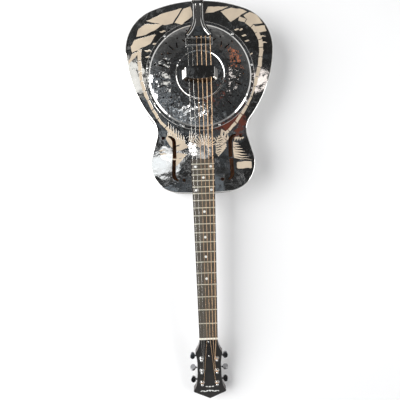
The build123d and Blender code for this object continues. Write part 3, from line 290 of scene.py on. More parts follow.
def rim_group():
    """How far in from the rim of the lower bout a place is, and how far along it, in mm."""
    tree, entry, leave = new_group(
        "rim_distance", [("X", NUMBER, 0.0), ("Y", NUMBER, 0.0)], [("Inside", NUMBER), ("Along", NUMBER)]
    )
    side = calc(tree, "ABSOLUTE", entry["X"])
    inside = along = None
    last_turn = 0.0
    for centre_x, centre_y, radius, end_turn, run in OUTLINE_ARCS:
        from_x = calc(tree, "SUBTRACT", side, centre_x)
        from_y = calc(tree, "SUBTRACT", entry["Y"], centre_y)
        reach = calc(tree, "SQRT", calc(tree, "ADD", both(tree, from_x, from_x), both(tree, from_y, from_y)))
        depth = calc(tree, "SUBTRACT", radius, reach)
        turn = calc(tree, "ARCTAN2", from_x, calc(tree, "MULTIPLY", from_y, -1.0))
        turned = calc(tree, "SUBTRACT", turn, math.radians(last_turn))
        travel = calc(tree, "MULTIPLY_ADD", turned, radius, run)
        if inside is None:
            inside, along = depth, travel
        else:
            beyond = calc(tree, "GREATER_THAN", turned, 0.0)
            change = calc(tree, "SUBTRACT", depth, inside)
            inside = calc(tree, "MULTIPLY_ADD", change, beyond, inside)
            change = calc(tree, "SUBTRACT", travel, along)
            along = calc(tree, "MULTIPLY_ADD", change, beyond, along)
        last_turn = end_turn
    tree.links.new(inside, leave["Inside"])
    tree.links.new(along, leave["Along"])
    return tree


def fan_group():
    """Leaf made of a fan of leaflets from a root, as a mask."""
    tree, entry, leave = new_group(
        "leaf_fan",
        [
            ("X", NUMBER, 0.0),
            ("Y", NUMBER, 0.0),
            ("Root X", NUMBER, 0.0),
            ("Root Y", NUMBER, 0.0),
            ("Heading", NUMBER, 0.0),
            ("Width", NUMBER, 120.0),
            ("Leaflets", NUMBER, 6.0),
            ("Inner", NUMBER, 5.0),
            ("Outer", NUMBER, 60.0),
            ("Tip", NUMBER, 8.0),
            ("Vein", NUMBER, 1.5),
            ("Curl", NUMBER, 0.0),
        ],
        [("Mask", NUMBER)],
    )
    from_x = calc(tree, "SUBTRACT", entry["X"], entry["Root X"])
    from_y = calc(tree, "SUBTRACT", entry["Y"], entry["Root Y"])
    reach = calc(tree, "SQRT", calc(tree, "ADD", both(tree, from_x, from_x), both(tree, from_y, from_y)))
    place = add(tree, "ShaderNodeCombineXYZ", {0: from_x, 1: from_y}).outputs[0]
    bend = calc(tree, "MULTIPLY", reach, entry["Curl"])
    heading = calc(tree, "RADIANS", calc(tree, "ADD", entry["Heading"], bend))
    level = add(
        tree,
        "ShaderNodeVectorRotate",
        {"Vector": place, "Angle": calc(tree, "MULTIPLY", heading, -1.0)},
        rotation_type="Z_AXIS",
    ).outputs[0]
    parts = add(tree, "ShaderNodeSeparateXYZ", {0: level}).outputs
    turn = calc(tree, "DEGREES", calc(tree, "ARCTAN2", parts["Y"], parts["X"]))
    share = calc(tree, "ADD", calc(tree, "DIVIDE", turn, entry["Width"]), 0.5)
    within = both(tree, calc(tree, "GREATER_THAN", share, 0.0), calc(tree, "LESS_THAN", share, 1.0))
    step = calc(tree, "FRACT", calc(tree, "MULTIPLY", share, entry["Leaflets"]))
    off_middle = calc(tree, "MULTIPLY", calc(tree, "ABSOLUTE", calc(tree, "SUBTRACT", step, 0.5)), 2.0)
    taper = calc(tree, "POWER", calc(tree, "DIVIDE", reach, entry["Outer"]), entry["Tip"])
    leaflet_arc = calc(tree, "DIVIDE", calc(tree, "RADIANS", entry["Width"]), entry["Leaflets"])
    vein = calc(tree, "DIVIDE", entry["Vein"], both(tree, reach, leaflet_arc))
    half = calc(tree, "SUBTRACT", calc(tree, "SUBTRACT", 1.0, taper), vein)
    leaf = calc(tree, "LESS_THAN", off_middle, half)
    outside_root = calc(tree, "GREATER_THAN", reach, entry["Inner"])
    tree.links.new(both(tree, within, leaf, outside_root), leave["Mask"])
    return tree


def block_group():
    """Rounded rectangle as a mask."""
    names = ("X", "Y", "Middle X", "Middle Y", "Half width", "Half height", "Round")
    tree, entry, leave = new_group("rounded_block", [(name, NUMBER, 1.0) for name in names], [("Mask", NUMBER)])
    over = []
    for axis, half in (("X", "Half width"), ("Y", "Half height")):
        away = calc(tree, "ABSOLUTE", calc(tree, "SUBTRACT", entry[axis], entry["Middle " + axis]))
        core = calc(tree, "SUBTRACT", entry[half], entry["Round"])
        over.append(calc(tree, "MAXIMUM", calc(tree, "SUBTRACT", away, core), 0.0))
    reach = calc(tree, "SQRT", calc(tree, "ADD", both(tree, over[0], over[0]), both(tree, over[1], over[1])))
    tree.links.new(calc(tree, "LESS_THAN", reach, entry["Round"]), leave["Mask"])
    return tree


def comb_group():
    """Leaflets hanging off a straight rib, growing from its start to its end, as a mask."""
    tree, entry, leave = new_group(
        "frond_side",
        [
            ("X", NUMBER, 0.0),
            ("Y", NUMBER, 0.0),
            ("Rib X", NUMBER, 0.0),
            ("Rib Y", NUMBER, 0.0),
            ("Heading", NUMBER, 0.0),
            ("Length", NUMBER, 40.0),
            ("First", NUMBER, 10.0),
            ("Last", NUMBER, 30.0),
            ("Spacing", NUMBER, 6.0),
            ("Slant", NUMBER, 0.4),
            ("Fill", NUMBER, 0.95),
        ],
        [("Mask", NUMBER)],
    )
    from_x = calc(tree, "SUBTRACT", entry["X"], entry["Rib X"])
    from_y = calc(tree, "SUBTRACT", entry["Y"], entry["Rib Y"])
    place = add(tree, "ShaderNodeCombineXYZ", {0: from_x, 1: from_y}).outputs[0]
    turn = calc(tree, "MULTIPLY", calc(tree, "RADIANS", entry["Heading"]), -1.0)
    level = add(
        tree, "ShaderNodeVectorRotate", {"Vector": place, "Angle": turn}, rotation_type="Z_AXIS"
    ).outputs[0]
    parts = add(tree, "ShaderNodeSeparateXYZ", {0: level}).outputs
    run, out = parts["X"], parts["Y"]
    slid = calc(tree, "SUBTRACT", run, both(tree, out, entry["Slant"]))
    step = calc(tree, "FRACT", calc(tree, "DIVIDE", slid, entry["Spacing"]))
    off_middle = calc(tree, "MULTIPLY", calc(tree, "ABSOLUTE", calc(tree, "SUBTRACT", step, 0.5)), 2.0)
    progress = calc(tree, "DIVIDE", slid, entry["Length"])
    growth = calc(tree, "SUBTRACT", entry["Last"], entry["First"])
    reach = calc(tree, "MULTIPLY_ADD", growth, progress, entry["First"])
    thin = calc(tree, "SUBTRACT", entry["Fill"], calc(tree, "DIVIDE", out, reach))
    leaf = calc(tree, "LESS_THAN", off_middle, thin)
    started = both(tree, calc(tree, "GREATER_THAN", out, -1.6), calc(tree, "GREATER_THAN", progress, 0.0))
    tree.links.new(both(tree, leaf, started, calc(tree, "LESS_THAN", progress, 1.0)), leave["Mask"])
    return tree


# Fans of spikes on the top: root, heading, width, leaflets, inner and outer reach, how
# sharply the tips close, vein width and curl. Headings run from +X towards +Y, in degrees.
SPIKE_FANS = (
    (-4, 174, -90, 150, 13, 9, 38, 1.6, 0.3, 0.0),
    (36, 171, -118, 40, 4, 16, 44, 1.5, 0.5, 0.1),
)
# Leaf blades of the top as convex outlines, in mm from the middle of the bridge.
LEAF_BLADES = (
    ((35, -167), (19, -171), (10, -153), (40, -127), (57, -134)),
    ((127, -139), (84, -158), (39, -168), (62, -133), (82, -129)),
    ((130, -132), (86, -131), (104, -118), (129, -106), (152, -102), (146, -121)),
    ((154, -98), (124, -103), (103, -109), (118, -84), (163, -64), (166, -79)),
    ((165, -60), (143, -69), (159, -50), (171, -36), (173, -43)),
    ((-25, -171), (-75, -169), (-38, -156), (-17, -154)),
    ((-54, -158), (-81, -166), (-101, -163), (-119, -155), (-79, -132)),
    ((-111, -146), (-126, -155), (-142, -147), (-155, -126), (-127, -124)),
    ((-130, -118), (-160, -120), (-165, -107), (-145, -103), (-134, -107)),
    ((84, 139), (43, 158), (56, 170), (74, 170), (88, 146)),
    ((73, 158), (44, 159), (33, 170), (55, 177), (73, 176)),
    ((33, 173), (38, 187), (64, 214), (74, 214), (74, 180), (62, 182)),
    ((-58, 161), (-59, 171), (-53, 179), (-38, 195), (-32, 186), (-33, 166)),
    ((-60, 158), (-43, 144), (-38, 150), (-34, 160), (-45, 164)),
    ((-61, 156), (-46, 143), (-46, 128), (-56, 134), (-66, 150)),
    ((-76, 152), (-80, 148), (-92, 148), (-106, 140), (-96, 150), (-84, 154)),
)
# Rows of leaflets: where the rib starts, its heading in degrees, its length, the first and
# last leaflet's reach, their spacing, slant and fullness.
LEAFLET_ROWS = (
    (42, 158, -26, 46, 15, 34, 6.4, 0.55, 0.92, -1),
    (-77, 160, 90, 40, 9, 44, 6.1, 0.12, 0.98, 1),
    (-62, 150, 24, 28, 16, 22, 6.0, 0.2, 0.82, -1),
    (-30, 164, 180, 20, 8, 12, 5.5, 0.1, 0.8, -1),
    (-78, 150, 178, 24, 12, 6, 6.0, -0.3, 0.85, -1),
)
DARK_DASHES = (
    (-39, 167, 9, 1.1), (-40, 172.5, 9, 1.2), (-40, 178, 8, 1.2), (-40, 183.5, 7, 1.1), (-39, 189, 5, 0.9),
    (-44, 150, 7, 1.0), (-45, 155, 8, 1.0), (-44, 160, 8, 0.9), (-53, 141, 2, 5), (-59, 146, 2, 5),
    (60, 166, 7, 1.0), (54, 196, 5, 0.8), (-66, 162, 3, 3), (-100, 154, 9, 0.9),
)
WATER_DASHES = (
    (-152, -94, 12, 2), (-156, -79, 10, 2), (-103, -112, 5, 2), (-110, -97, 6, 2), (-117, -84, 6, 2),
    (-92, -113, 6, 2), (88, -113, 8, 2.2), (108, -84, 5, 2), (125, -67, 9, 2), (126, -53, 6, 2),
    (-150, -60, 7, 1.4), (-125, -52, 5, 1.4), (118, -40, 5, 1.6), (98, 176, 9, 1.5), (96, 184, 11, 1.7),
)
VEINS = (
    (36, 172, 20, 30, 1.2, 4.0),
    (52, 162, 20, 14, 0.6, 2.4),
    (-61, 160, 30, 30, 0.4, 2.2),
    (-61, 160, 142, 26, 0.3, 1.2),
)
STALK_HALF_WIDTH = 4.8
STALK_STEP = 27.0


def blade(tree, x, y, corners):
    """Mask of a convex leaf blade with the given corners."""
    middle_x = sum(corner[0] for corner in corners) / len(corners)
    middle_y = sum(corner[1] for corner in corners) / len(corners)
    depth = None
    for number, (start_x, start_y) in enumerate(corners):
        end_x, end_y = corners[(number + 1) % len(corners)]
        length = math.hypot(end_x - start_x, end_y - start_y)
        by_x, by_y = (start_y - end_y) / length, (end_x - start_x) / length
        offset = -(by_x * start_x + by_y * start_y)
        if by_x * middle_x + by_y * middle_y + offset < 0:
            by_x, by_y, offset = -by_x, -by_y, -offset
        away = calc(tree, "MULTIPLY_ADD", x, by_x, offset)
        away = calc(tree, "MULTIPLY_ADD", y, by_y, away)
        depth = away if depth is None else calc(tree, "MINIMUM", depth, away)
    return calc(tree, "GREATER_THAN", depth, 0.0)


def dash(tree, x, y, row):
    """Mask of one short wavy dash: middle, half length and half width."""
    middle_x, middle_y, half_length, half_width = row
    from_x = calc(tree, "SUBTRACT", x, float(middle_x))
    wave = calc(tree, "MULTIPLY", calc(tree, "SINE", calc(tree, "MULTIPLY", from_x, 0.5)), 0.9)
    from_y = calc(tree, "ABSOLUTE", calc(tree, "SUBTRACT", calc(tree, "SUBTRACT", y, middle_y), wave))
    share = calc(tree, "DIVIDE", calc(tree, "ABSOLUTE", from_x), float(half_length))
    room = calc(tree, "MULTIPLY", calc(tree, "SUBTRACT", 1.0, both(tree, share, share)), half_width)
    return calc(tree, "LESS_THAN", from_y, room)


def vein(tree, x, y, row):
    """Mask of one tapering vein from a root: heading, length, and width at its two ends."""
    root_x, root_y, heading, length, thin, thick = row
    turn = math.radians(heading)
    from_x = calc(tree, "SUBTRACT", x, float(root_x))
    from_y = calc(tree, "SUBTRACT", y, float(root_y))
    run = calc(tree, "MULTIPLY_ADD", from_y, math.sin(turn), calc(tree, "MULTIPLY", from_x, math.cos(turn)))
    off = calc(tree, "MULTIPLY_ADD", from_y, math.cos(turn), calc(tree, "MULTIPLY", from_x, -math.sin(turn)))
    width = calc(tree, "MULTIPLY_ADD", run, (thick - thin) / length / 2, thin / 2)
    on_line = calc(tree, "LESS_THAN", calc(tree, "ABSOLUTE", off), width)
    return both(tree, on_line, calc(tree, "GREATER_THAN", run, 0.0), calc(tree, "LESS_THAN", run, float(length)))


def leaf_work_group():
    """All of the etched work of the top, as one mask over its flat face."""
    tree, entry, leave = new_group("etched_leaf_work", [("Wobble", NUMBER, 1.0)], [("Etched", NUMBER)])
    where = add(tree, "ShaderNodeTexCoord").outputs["Object"]
    hand = add(tree, "ShaderNodeTexNoise", {"Vector": where, "Scale": 55.0, "Detail": 1.0}).outputs["Color"]
    centred = add(tree, "ShaderNodeVectorMath", {0: hand, 1: (0.5, 0.5, 0.5)}, operation="SUBTRACT").outputs[0]
    wander = add(tree, "ShaderNodeVectorMath", {0: centred}, operation="SCALE")
    tree.links.new(calc(tree, "MULTIPLY", entry["Wobble"], 0.005), wander.inputs["Scale"])
    moved = add(tree, "ShaderNodeVectorMath", {0: where, 1: wander.outputs[0]}, operation="ADD").outputs[0]
    parts = add(tree, "ShaderNodeSeparateXYZ", {0: moved}).outputs
    x = calc(tree, "MULTIPLY", parts["X"], 1000.0)
    y = calc(tree, "MULTIPLY", parts["Y"], 1000.0)
    height = add(tree, "ShaderNodeSeparateXYZ", {0: where}).outputs["Z"]

    rim = use(tree, rim_distance, X=x, Y=y)
    depth, along = rim["Inside"], rim["Along"]
    treble = calc(tree, "GREATER_THAN", x, 0.0)

    # Jointed stalks down both sides, drifting towards the rim at the waist.
    treble_line = spread(tree, along, 235.0, 440.0, 36.0, 13.0)
    bass_line = spread(tree, along, 330.0, 490.0, 30.0, 18.0)
    change = calc(tree, "SUBTRACT", treble_line, bass_line)
    middle = calc(tree, "MULTIPLY_ADD", treble, change, bass_line)
    line = calc(tree, "ABSOLUTE", calc(tree, "SUBTRACT", depth, middle))
    half_width = spread(tree, along, 240.0, 440.0, STALK_HALF_WIDTH, 3.4)
    stalk = calc(tree, "LESS_THAN", line, half_width)
    knot = calc(tree, "FRACT", calc(tree, "DIVIDE", along, STALK_STEP))
    knot_gap = both(tree, calc(tree, "GREATER_THAN", knot, 0.05), calc(tree, "LESS_THAN", knot, 0.97))
    start = calc(tree, "MULTIPLY_ADD", treble, 126.0, 112.0)
    length = both(tree, calc(tree, "GREATER_THAN", along, start), calc(tree, "LESS_THAN", along, 496.0))
    mask = both(tree, stalk, knot_gap, length)

    for corners in LEAF_BLADES:
        mask = either(tree, mask, blade(tree, x, y, corners))
    for row in LEAFLET_ROWS:
        names = ("Rib_X", "Rib_Y", "Heading", "Length", "First", "Last", "Spacing", "Slant", "Fill")
        values = dict(zip(names, (float(value) for value in row)))
        side_x, side_y = x, y
        if row[-1] < 0:
            # Leaflets on the other side of the rib: the rib's frame is turned over.
            side_x, side_y, values = mirrored(tree, x, y, values)
        mask = either(tree, mask, use(tree, frond_side, X=side_x, Y=side_y, **values)["Mask"])
    for fan in SPIKE_FANS:
        mask = either(tree, mask, use(tree, leaf_fan, **fan_values(x, y, fan))["Mask"])
    for row in WATER_DASHES:
        mask = either(tree, mask, dash(tree, x, y, row))
    block = use(
        tree, rounded_block, X=x, Y=y, Middle_X=-100.5, Middle_Y=217.0, Half_width=17.5,
        Half_height=8.4, Round=3.5,
    )["Mask"]
    mask = either(tree, mask, block)
    cuts = [vein(tree, x, y, row) for row in VEINS] + [dash(tree, x, y, row) for row in DARK_DASHES]
    for cut in cuts:
        mask = calc(tree, "SUBTRACT", mask, both(tree, mask, cut))
    on_face = calc(tree, "GREATER_THAN", height, TOP_Z - 0.0004)
    tree.links.new(both(tree, mask, on_face), leave["Etched"])
    return tree


def mirrored(tree, x, y, values):
    """The same rib seen with Y turned over, so that leaflets grow from its other side."""
    turned = dict(values)
    turned["Rib_Y"] = -values["Rib_Y"]
    turned["Heading"] = -values["Heading"]
    return x, calc(tree, "MULTIPLY", y, -1.0), turned


def fan_values(x, y, fan):
    """Inputs of the fan group for one row of the fan tables."""
    names = ("Root_X", "Root_Y", "Heading", "Width", "Leaflets", "Inner", "Outer", "Tip", "Vein", "Curl")
    values = dict(zip(names, (float(value) for value in fan)))
    return {"X": x, "Y": y, **values}


# ---- Materials ----
def new_material(name):
    """Empty material with a Principled shader; gives the material, its tree and the shader."""
    material = bpy.data.materials.new(name)
    material.use_nodes = True
    tree = material.node_tree
    tree.nodes.clear()
    shader = tree.nodes.new("ShaderNodeBsdfPrincipled")
    leave = tree.nodes.new("ShaderNodeOutputMaterial")
    tree.links.new(shader.outputs[0], leave.inputs["Surface"])
    return material, tree, shader


def bump(tree, shader, height, strength, distance, below=None):
    """Feed a height to the shader's normal through a Bump node."""
    made = add(tree, "ShaderNodeBump", {"Height": height, "Strength": strength, "Distance": distance})
    if below is not None:
        tree.links.new(below, made.inputs["Normal"])
    tree.links.new(made.outputs[0], shader.inputs["Normal"])
    return made.outputs[0]


def plated(name, colour, roughness, uneven, size=18.0, smudge_size=26.0):
    """Bright plating over sheet metal, with smudges, hairline scratches and slow unevenness."""
    material, tree, shader = new_material(name)
    shader.inputs["Metallic"].default_value = 1.0
    marks = use(tree, handling_marks, Size=smudge_size)
    dull = tuple(value * 0.82 for value in colour)
    tree.links.new(blend(tree, marks["Smudge"], colour + (1,), dull + (1,)), shader.inputs["Base Color"])
    soft = calc(tree, "MULTIPLY_ADD", marks["Smudge"], 0.07, roughness)
    tree.links.new(calc(tree, "MULTIPLY_ADD", marks["Scratch"], 0.12, soft), shader.inputs["Roughness"])
    height = use(tree, sheet_unevenness, Size=size)["Height"]
    bump(tree, shader, height, uneven, 0.004)
    return material


def etched_top():
    """Plated top with frosted cream leaf work etched into it."""
    material, tree, shader = new_material("etched_plate")
    marks = use(tree, handling_marks, Size=24.0)
    etched = use(tree, etched_leaf_work, Wobble=1.0)["Etched"]
    where = add(tree, "ShaderNodeTexCoord").outputs["Object"]
    tone = add(tree, "ShaderNodeTexNoise", {"Vector": where, "Scale": 26.0, "Detail": 4.0}).outputs[0]
    speckle = add(tree, "ShaderNodeTexNoise", {"Vector": where, "Scale": 2600.0, "Detail": 1.0}).outputs[0]
    frost = blend(tree, spread(tree, tone, 0.35, 0.7, 0.0, 1.0), (0.67, 0.56, 0.42, 1), (0.53, 0.44, 0.34, 1))
    frost = blend(tree, spread(tree, speckle, 0.45, 0.75, 0.0, 0.35), frost, (0.40, 0.33, 0.26, 1))
    bright = blend(tree, marks["Smudge"], (0.80, 0.79, 0.77, 1), (0.66, 0.65, 0.63, 1))
    tree.links.new(blend(tree, etched, bright, frost), shader.inputs["Base Color"])
    tree.links.new(spread(tree, etched, 0.0, 1.0, 1.0, 0.25), shader.inputs["Metallic"])
    polish = calc(tree, "MULTIPLY_ADD", marks["Smudge"], 0.06, 0.035)
    polish = calc(tree, "MULTIPLY_ADD", marks["Scratch"], 0.12, polish)
    tree.links.new(calc(tree, "MULTIPLY_ADD", etched, 0.5, polish), shader.inputs["Roughness"])
    height = use(tree, sheet_unevenness, Size=16.0)["Height"]
    sheet = bump(tree, shader, height, 0.22, 0.004)
    grit = calc(tree, "MULTIPLY", speckle, etched)
    bitten = calc(tree, "SUBTRACT", grit, calc(tree, "MULTIPLY", etched, 3.0))
    bump(tree, shader, bitten, 0.35, 0.00008, below=sheet)
    return material


def plated_back():
    """Plated back, bare copper-coloured metal on its inner face."""
    material, tree, shader = new_material("back_plate")
    marks = use(tree, handling_marks, Size=24.0)
    shape = add(tree, "ShaderNodeNewGeometry")
    facing = add(tree, "ShaderNodeSeparateXYZ", {0: shape.outputs["True Normal"]}).outputs["Z"]
    where = add(tree, "ShaderNodeTexCoord").outputs["Object"]
    height = add(tree, "ShaderNodeSeparateXYZ", {0: where}).outputs["Z"]
    above = calc(tree, "GREATER_THAN", height, BACK_Z + 0.0008)
    floor = both(tree, above, calc(tree, "LESS_THAN", height, BACK_Z + 0.002))
    inner = both(tree, calc(tree, "GREATER_THAN", facing, 0.8), floor)
    tarnish = add(tree, "ShaderNodeTexNoise", {"Vector": where, "Scale": 30.0, "Detail": 5.0}).outputs[0]
    copper = blend(tree, spread(tree, tarnish, 0.35, 0.7, 0.0, 1.0), (1.0, 0.55, 0.32, 1), (0.85, 0.42, 0.24, 1))
    bright = blend(tree, marks["Smudge"], (0.80, 0.79, 0.77, 1), (0.66, 0.65, 0.63, 1))
    tree.links.new(blend(tree, inner, bright, copper), shader.inputs["Base Color"])
    tree.links.new(spread(tree, inner, 0.0, 1.0, 1.0, 0.1), shader.inputs["Metallic"])
    polish = calc(tree, "MULTIPLY_ADD", marks["Smudge"], 0.06, 0.04)
    tree.links.new(calc(tree, "MULTIPLY_ADD", inner, 0.4, polish), shader.inputs["Roughness"])
    bump(tree, shader, use(tree, sheet_unevenness, Size=10.0)["Height"], 0.3, 0.004)
    return material


def wood(name, light, dark, pore, roughness, streak=260.0, stretch=0.05, coat=0.0, bite=0.4):
    """Wood with grain along the neck, open pores and a finish."""
    material, tree, shader = new_material(name)
    grain = use(tree, wood_grain, Streak=streak, Stretch=stretch)
    base = blend(tree, grain["Streaks"], light + (1,), dark + (1,))
    base = blend(tree, spread(tree, grain["Patches"], 0.35, 0.7, 0.0, 0.5), base, dark + (1,))
    tree.links.new(blend(tree, grain["Pores"], base, pore + (1,)), shader.inputs["Base Color"])
    tree.links.new(calc(tree, "MULTIPLY_ADD", grain["Streaks"], 0.12, roughness), shader.inputs["Roughness"])
    shader.inputs["Coat Weight"].default_value = coat
    shader.inputs["Coat Roughness"].default_value = 0.12
    groove = calc(tree, "SUBTRACT", calc(tree, "MULTIPLY", grain["Streaks"], 0.3), grain["Pores"])
    bump(tree, shader, groove, bite, 0.0001)
    return material


def smooth_solid(name, colour, second, roughness, scale=80.0, coat=0.3):
    """Bone, plastic or lacquer: a soft cloud of two close tones and faint handling marks."""
    material, tree, shader = new_material(name)
    where = add(tree, "ShaderNodeTexCoord").outputs["Object"]
    cloud = add(tree, "ShaderNodeTexNoise", {"Vector": where, "Scale": scale, "Detail": 3.0}).outputs[0]
    mixed = blend(tree, spread(tree, cloud, 0.35, 0.7, 0.0, 1.0), colour + (1,), second + (1,))
    tree.links.new(mixed, shader.inputs["Base Color"])
    marks = use(tree, handling_marks, Size=60.0)
    soft = calc(tree, "MULTIPLY_ADD", marks["Smudge"], 0.12, roughness)
    tree.links.new(calc(tree, "MULTIPLY_ADD", marks["Scratch"], 0.15, soft), shader.inputs["Roughness"])
    shader.inputs["Coat Weight"].default_value = coat
    shader.inputs["Coat Roughness"].default_value = 0.08
    bump(tree, shader, cloud, 0.08, 0.0004)
    return material


def wound_wire(name, colour, dark, pitch):
    """Bronze winding on a string: fine turns across its length, with painted shade in the grooves between them.
    """
    material, tree, shader = new_material(name)
    where = add(tree, "ShaderNodeTexCoord").outputs["Object"]
    along = add(tree, "ShaderNodeSeparateXYZ", {0: where}).outputs["Y"]
    turns = calc(tree, "SINE", calc(tree, "MULTIPLY", along, 2 * math.pi / pitch))
    cloud = add(tree, "ShaderNodeTexNoise", {"Vector": where, "Scale": 40.0, "Detail": 3.0}).outputs[0]
    # The colour darkens in the grooves between the turns as painted shade, with a random cloud of tone over it.
    shade = calc(tree, "MULTIPLY_ADD", turns, 0.3, 0.3)
    shade = calc(tree, "MULTIPLY_ADD", cloud, 0.5, shade)
    tree.links.new(blend(tree, spread(tree, shade, 0.2, 1.0, 0.0, 1.0), dark + (1,), colour + (1,)),
                   shader.inputs["Base Color"])
    shader.inputs["Metallic"].default_value = 1.0
    tree.links.new(spread(tree, cloud, 0.3, 0.7, 0.24, 0.4), shader.inputs["Roughness"])
    bump(tree, shader, turns, 0.6, 0.0001)
    return material


def spun_aluminium():
    """Spun cone: fine rings round its middle."""
    material, tree, shader = new_material("spun_aluminium")
    where = add(tree, "ShaderNodeTexCoord").outputs["Object"]
    centred = add(tree, "ShaderNodeMapping", {"Vector": where, "Location": (0, -COVER_Y, 0)}).outputs[0]
    flat = add(tree, "ShaderNodeVectorMath", {0: centred, 1: (1, 1, 0)}, operation="MULTIPLY").outputs[0]
    reach = add(tree, "ShaderNodeVectorMath", {0: flat}, operation="LENGTH").outputs["Value"]
    rings = calc(tree, "SINE", calc(tree, "MULTIPLY", reach, 2 * math.pi / 0.0011))
    cloud = add(tree, "ShaderNodeTexNoise", {"Vector": where, "Scale": 35.0, "Detail": 3.0}).outputs[0]
    tree.links.new(blend(tree, cloud, (0.62, 0.62, 0.63, 1), (0.8, 0.8, 0.81, 1)), shader.inputs["Base Color"])
    shader.inputs["Metallic"].default_value = 1.0
    tree.links.new(calc(tree, "MULTIPLY_ADD", rings, 0.06, 0.34), shader.inputs["Roughness"])
    bump(tree, shader, rings, 0.25, 0.0001)
    return material


def floor_paint():
    """Plain pale floor."""
    material, tree, shader = new_material("pale_floor")
    where = add(tree, "ShaderNodeTexCoord").outputs["Object"]
    cloud = add(tree, "ShaderNodeTexNoise", {"Vector": where, "Scale": 3.0, "Detail": 2.0}).outputs[0]
    tree.links.new(blend(tree, cloud, (0.93, 0.93, 0.93, 1), (0.9, 0.9, 0.905, 1)), shader.inputs["Base Color"])
    shader.inputs["Roughness"].default_value = 0.9
    return material


# ---- Building ----
handling_marks = smudge_group()
sheet_unevenness = ripple_group()
wood_grain = grain_group()
rim_distance = rim_group()
leaf_fan = fan_group()
rounded_block = block_group()
frond_side = comb_group()
etched_leaf_work = leaf_work_group()

bright_plate = plated("bright_plate", (0.80, 0.79, 0.77), 0.035, 0.2, size=14.0)
cover_finish = plated("cover_plate_metal", (0.80, 0.79, 0.77), 0.04, 0.5, size=30.0)
FINISHES = {
    "etched_plate": (etched_top(), ["body_top"]),
    "back": (plated_back(), ["body_back"]),
    "bright_plate": (bright_plate, ["body_sides", "hand_rest", "tailpiece", "tailpiece_hanger", "end_button"]),
    "cover": (cover_finish, ["cover_plate"]),
    "copper": (plated("bare_copper", (0.80, 0.40, 0.22), 0.35, 0.3), ["cone_well"]),
    "cone": (spun_aluminium(), ["resonator_cone"]),
    "maple": (
        wood("maple", (0.68, 0.47, 0.27), (0.52, 0.33, 0.17), (0.35, 0.2, 0.1), 0.42, streak=180.0),
        ["neck_stick", "stick_posts"],
    ),
    # Maple of the biscuit and saddle, painted dark to stand in for the shade under the hand rest.
    "shade_darkened_maple": (
        wood("shade_darkened_maple", (0.16, 0.095, 0.055), (0.09, 0.052, 0.030), (0.04, 0.022, 0.012), 0.5, streak=180.0),
        ["biscuit", "saddle"],
    ),
    "neck_wood": (
        wood("neck_wood", (0.050, 0.026, 0.018), (0.024, 0.013, 0.010), (0.008, 0.005, 0.004), 0.3,
             streak=240.0, coat=0.5),
        ["neck"],
    ),
    "rosewood": (
        wood("rosewood", (0.140, 0.120, 0.090), (0.045, 0.038, 0.029), (0.012, 0.010, 0.008), 0.42,
             streak=520.0, stretch=0.03, bite=0.7),
        ["fretboard"],
    ),
    "binding": (
        smooth_solid("dark_binding", (0.055, 0.040, 0.030), (0.030, 0.022, 0.018), 0.28),
        ["fretboard_binding"],
    ),
    "bone": (smooth_solid("bone", (0.94, 0.91, 0.80), (0.88, 0.84, 0.70), 0.28), ["nut"]),
    "pearl": (smooth_solid("pearl", (0.90, 0.89, 0.84), (0.74, 0.78, 0.78), 0.18, scale=420.0), ["dot_inlays"]),
    "fret_wire": (plated("fret_wire", (1.0, 0.96, 0.80), 0.45, 0.1), ["frets"]),
    "black_lacquer": (
        smooth_solid("black_lacquer", (0.008, 0.0075, 0.007), (0.014, 0.012, 0.011), 0.3, coat=0.1),
        ["headstock_veneer"],
    ),
    "black_cover": (
        smooth_solid("black_cover", (0.006, 0.006, 0.006), (0.010, 0.010, 0.010), 0.22, coat=0.1),
        ["truss_rod_cover"],
    ),
    "screw": (
        plated("screw_plate", (0.74, 0.74, 0.73), 0.12, 0.1),
        ["biscuit_screw", "cover_screws", "tail_screws", "headstock_screws", "tailpiece_hinge_pin", "truss_rod"],
    ),
    "tuner_chrome": (
        plated("tuner_chrome", (0.80, 0.80, 0.79), 0.07, 0.1),
        ["tuner_plates", "tuner_bushings"]
        + [f"tuner_post_{n}" for n in range(1, 7)]
        + [f"tuner_worm_{n}" for n in range(1, 7)],
    ),
    # Chrome of the tuner buttons, painted dark: a painted reflection of dark surroundings, not a dark plating.
    "dark_chrome": (
        plated("dark_chrome", (0.34, 0.34, 0.35), 0.05, 0.15),
        [f"tuner_button_{n}" for n in range(1, 7)],
    ),
    "gear_brass": (plated("gear_brass", (0.78, 0.58, 0.30), 0.28, 0.2), [f"tuner_gear_{n}" for n in range(1, 7)]),
    "plain_string": (plated("plain_string", (0.74, 0.73, 0.70), 0.2, 0.05), ["string_1", "string_2"]),
    "wound_string": (
        wound_wire("wound_string", (0.93, 0.66, 0.42), (0.46, 0.28, 0.16), 0.0006),
        [f"string_{n}" for n in range(3, 7)],
    ),
}


def dress_nodes():
    """Give every CAD node its finish."""
    for material, names in FINISHES.values():
        for name in names:
            piece = frame["nodes"][name]
            piece.data.materials.clear()
            piece.data.materials.append(material)


# ---- Pieces added to the frame ----
def head_place(across, along, up):
    """Place on the headstock in mm: across, along from behind the nut, above the wood."""
    start = Vector(JOINTS["post_1_turn"]["pos_m"]) - ACROSS * 19 * MM - HEAD_RUN * 54.5 * MM
    return start + ACROSS * across * MM + HEAD_RUN * along * MM + HEAD_UP * up * MM


def settle(piece, name, material, body):
    """Give a finished piece its name and material, with its place in its mesh, and let it ride."""
    bpy.ops.object.transform_apply(location=True, rotation=True, scale=True)
    bpy.ops.object.mode_set(mode="EDIT")
    bpy.ops.mesh.select_all(action="SELECT")
    bpy.ops.mesh.normals_make_consistent(inside=False)
    bpy.ops.object.mode_set(mode="OBJECT")
    piece.name = piece.data.name = name
    piece.data.materials.append(material)
    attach(piece, body)
    bpy.ops.object.select_all(action="DESELECT")


STRING_RADII = (0.203, 0.229, 0.356, 0.483, 0.584, 0.711)
POST_WAIST = (6.3, 8.9)
COIL_OUTER = 3.28
COIL_STEPS = 24
CUT_END = 1.6


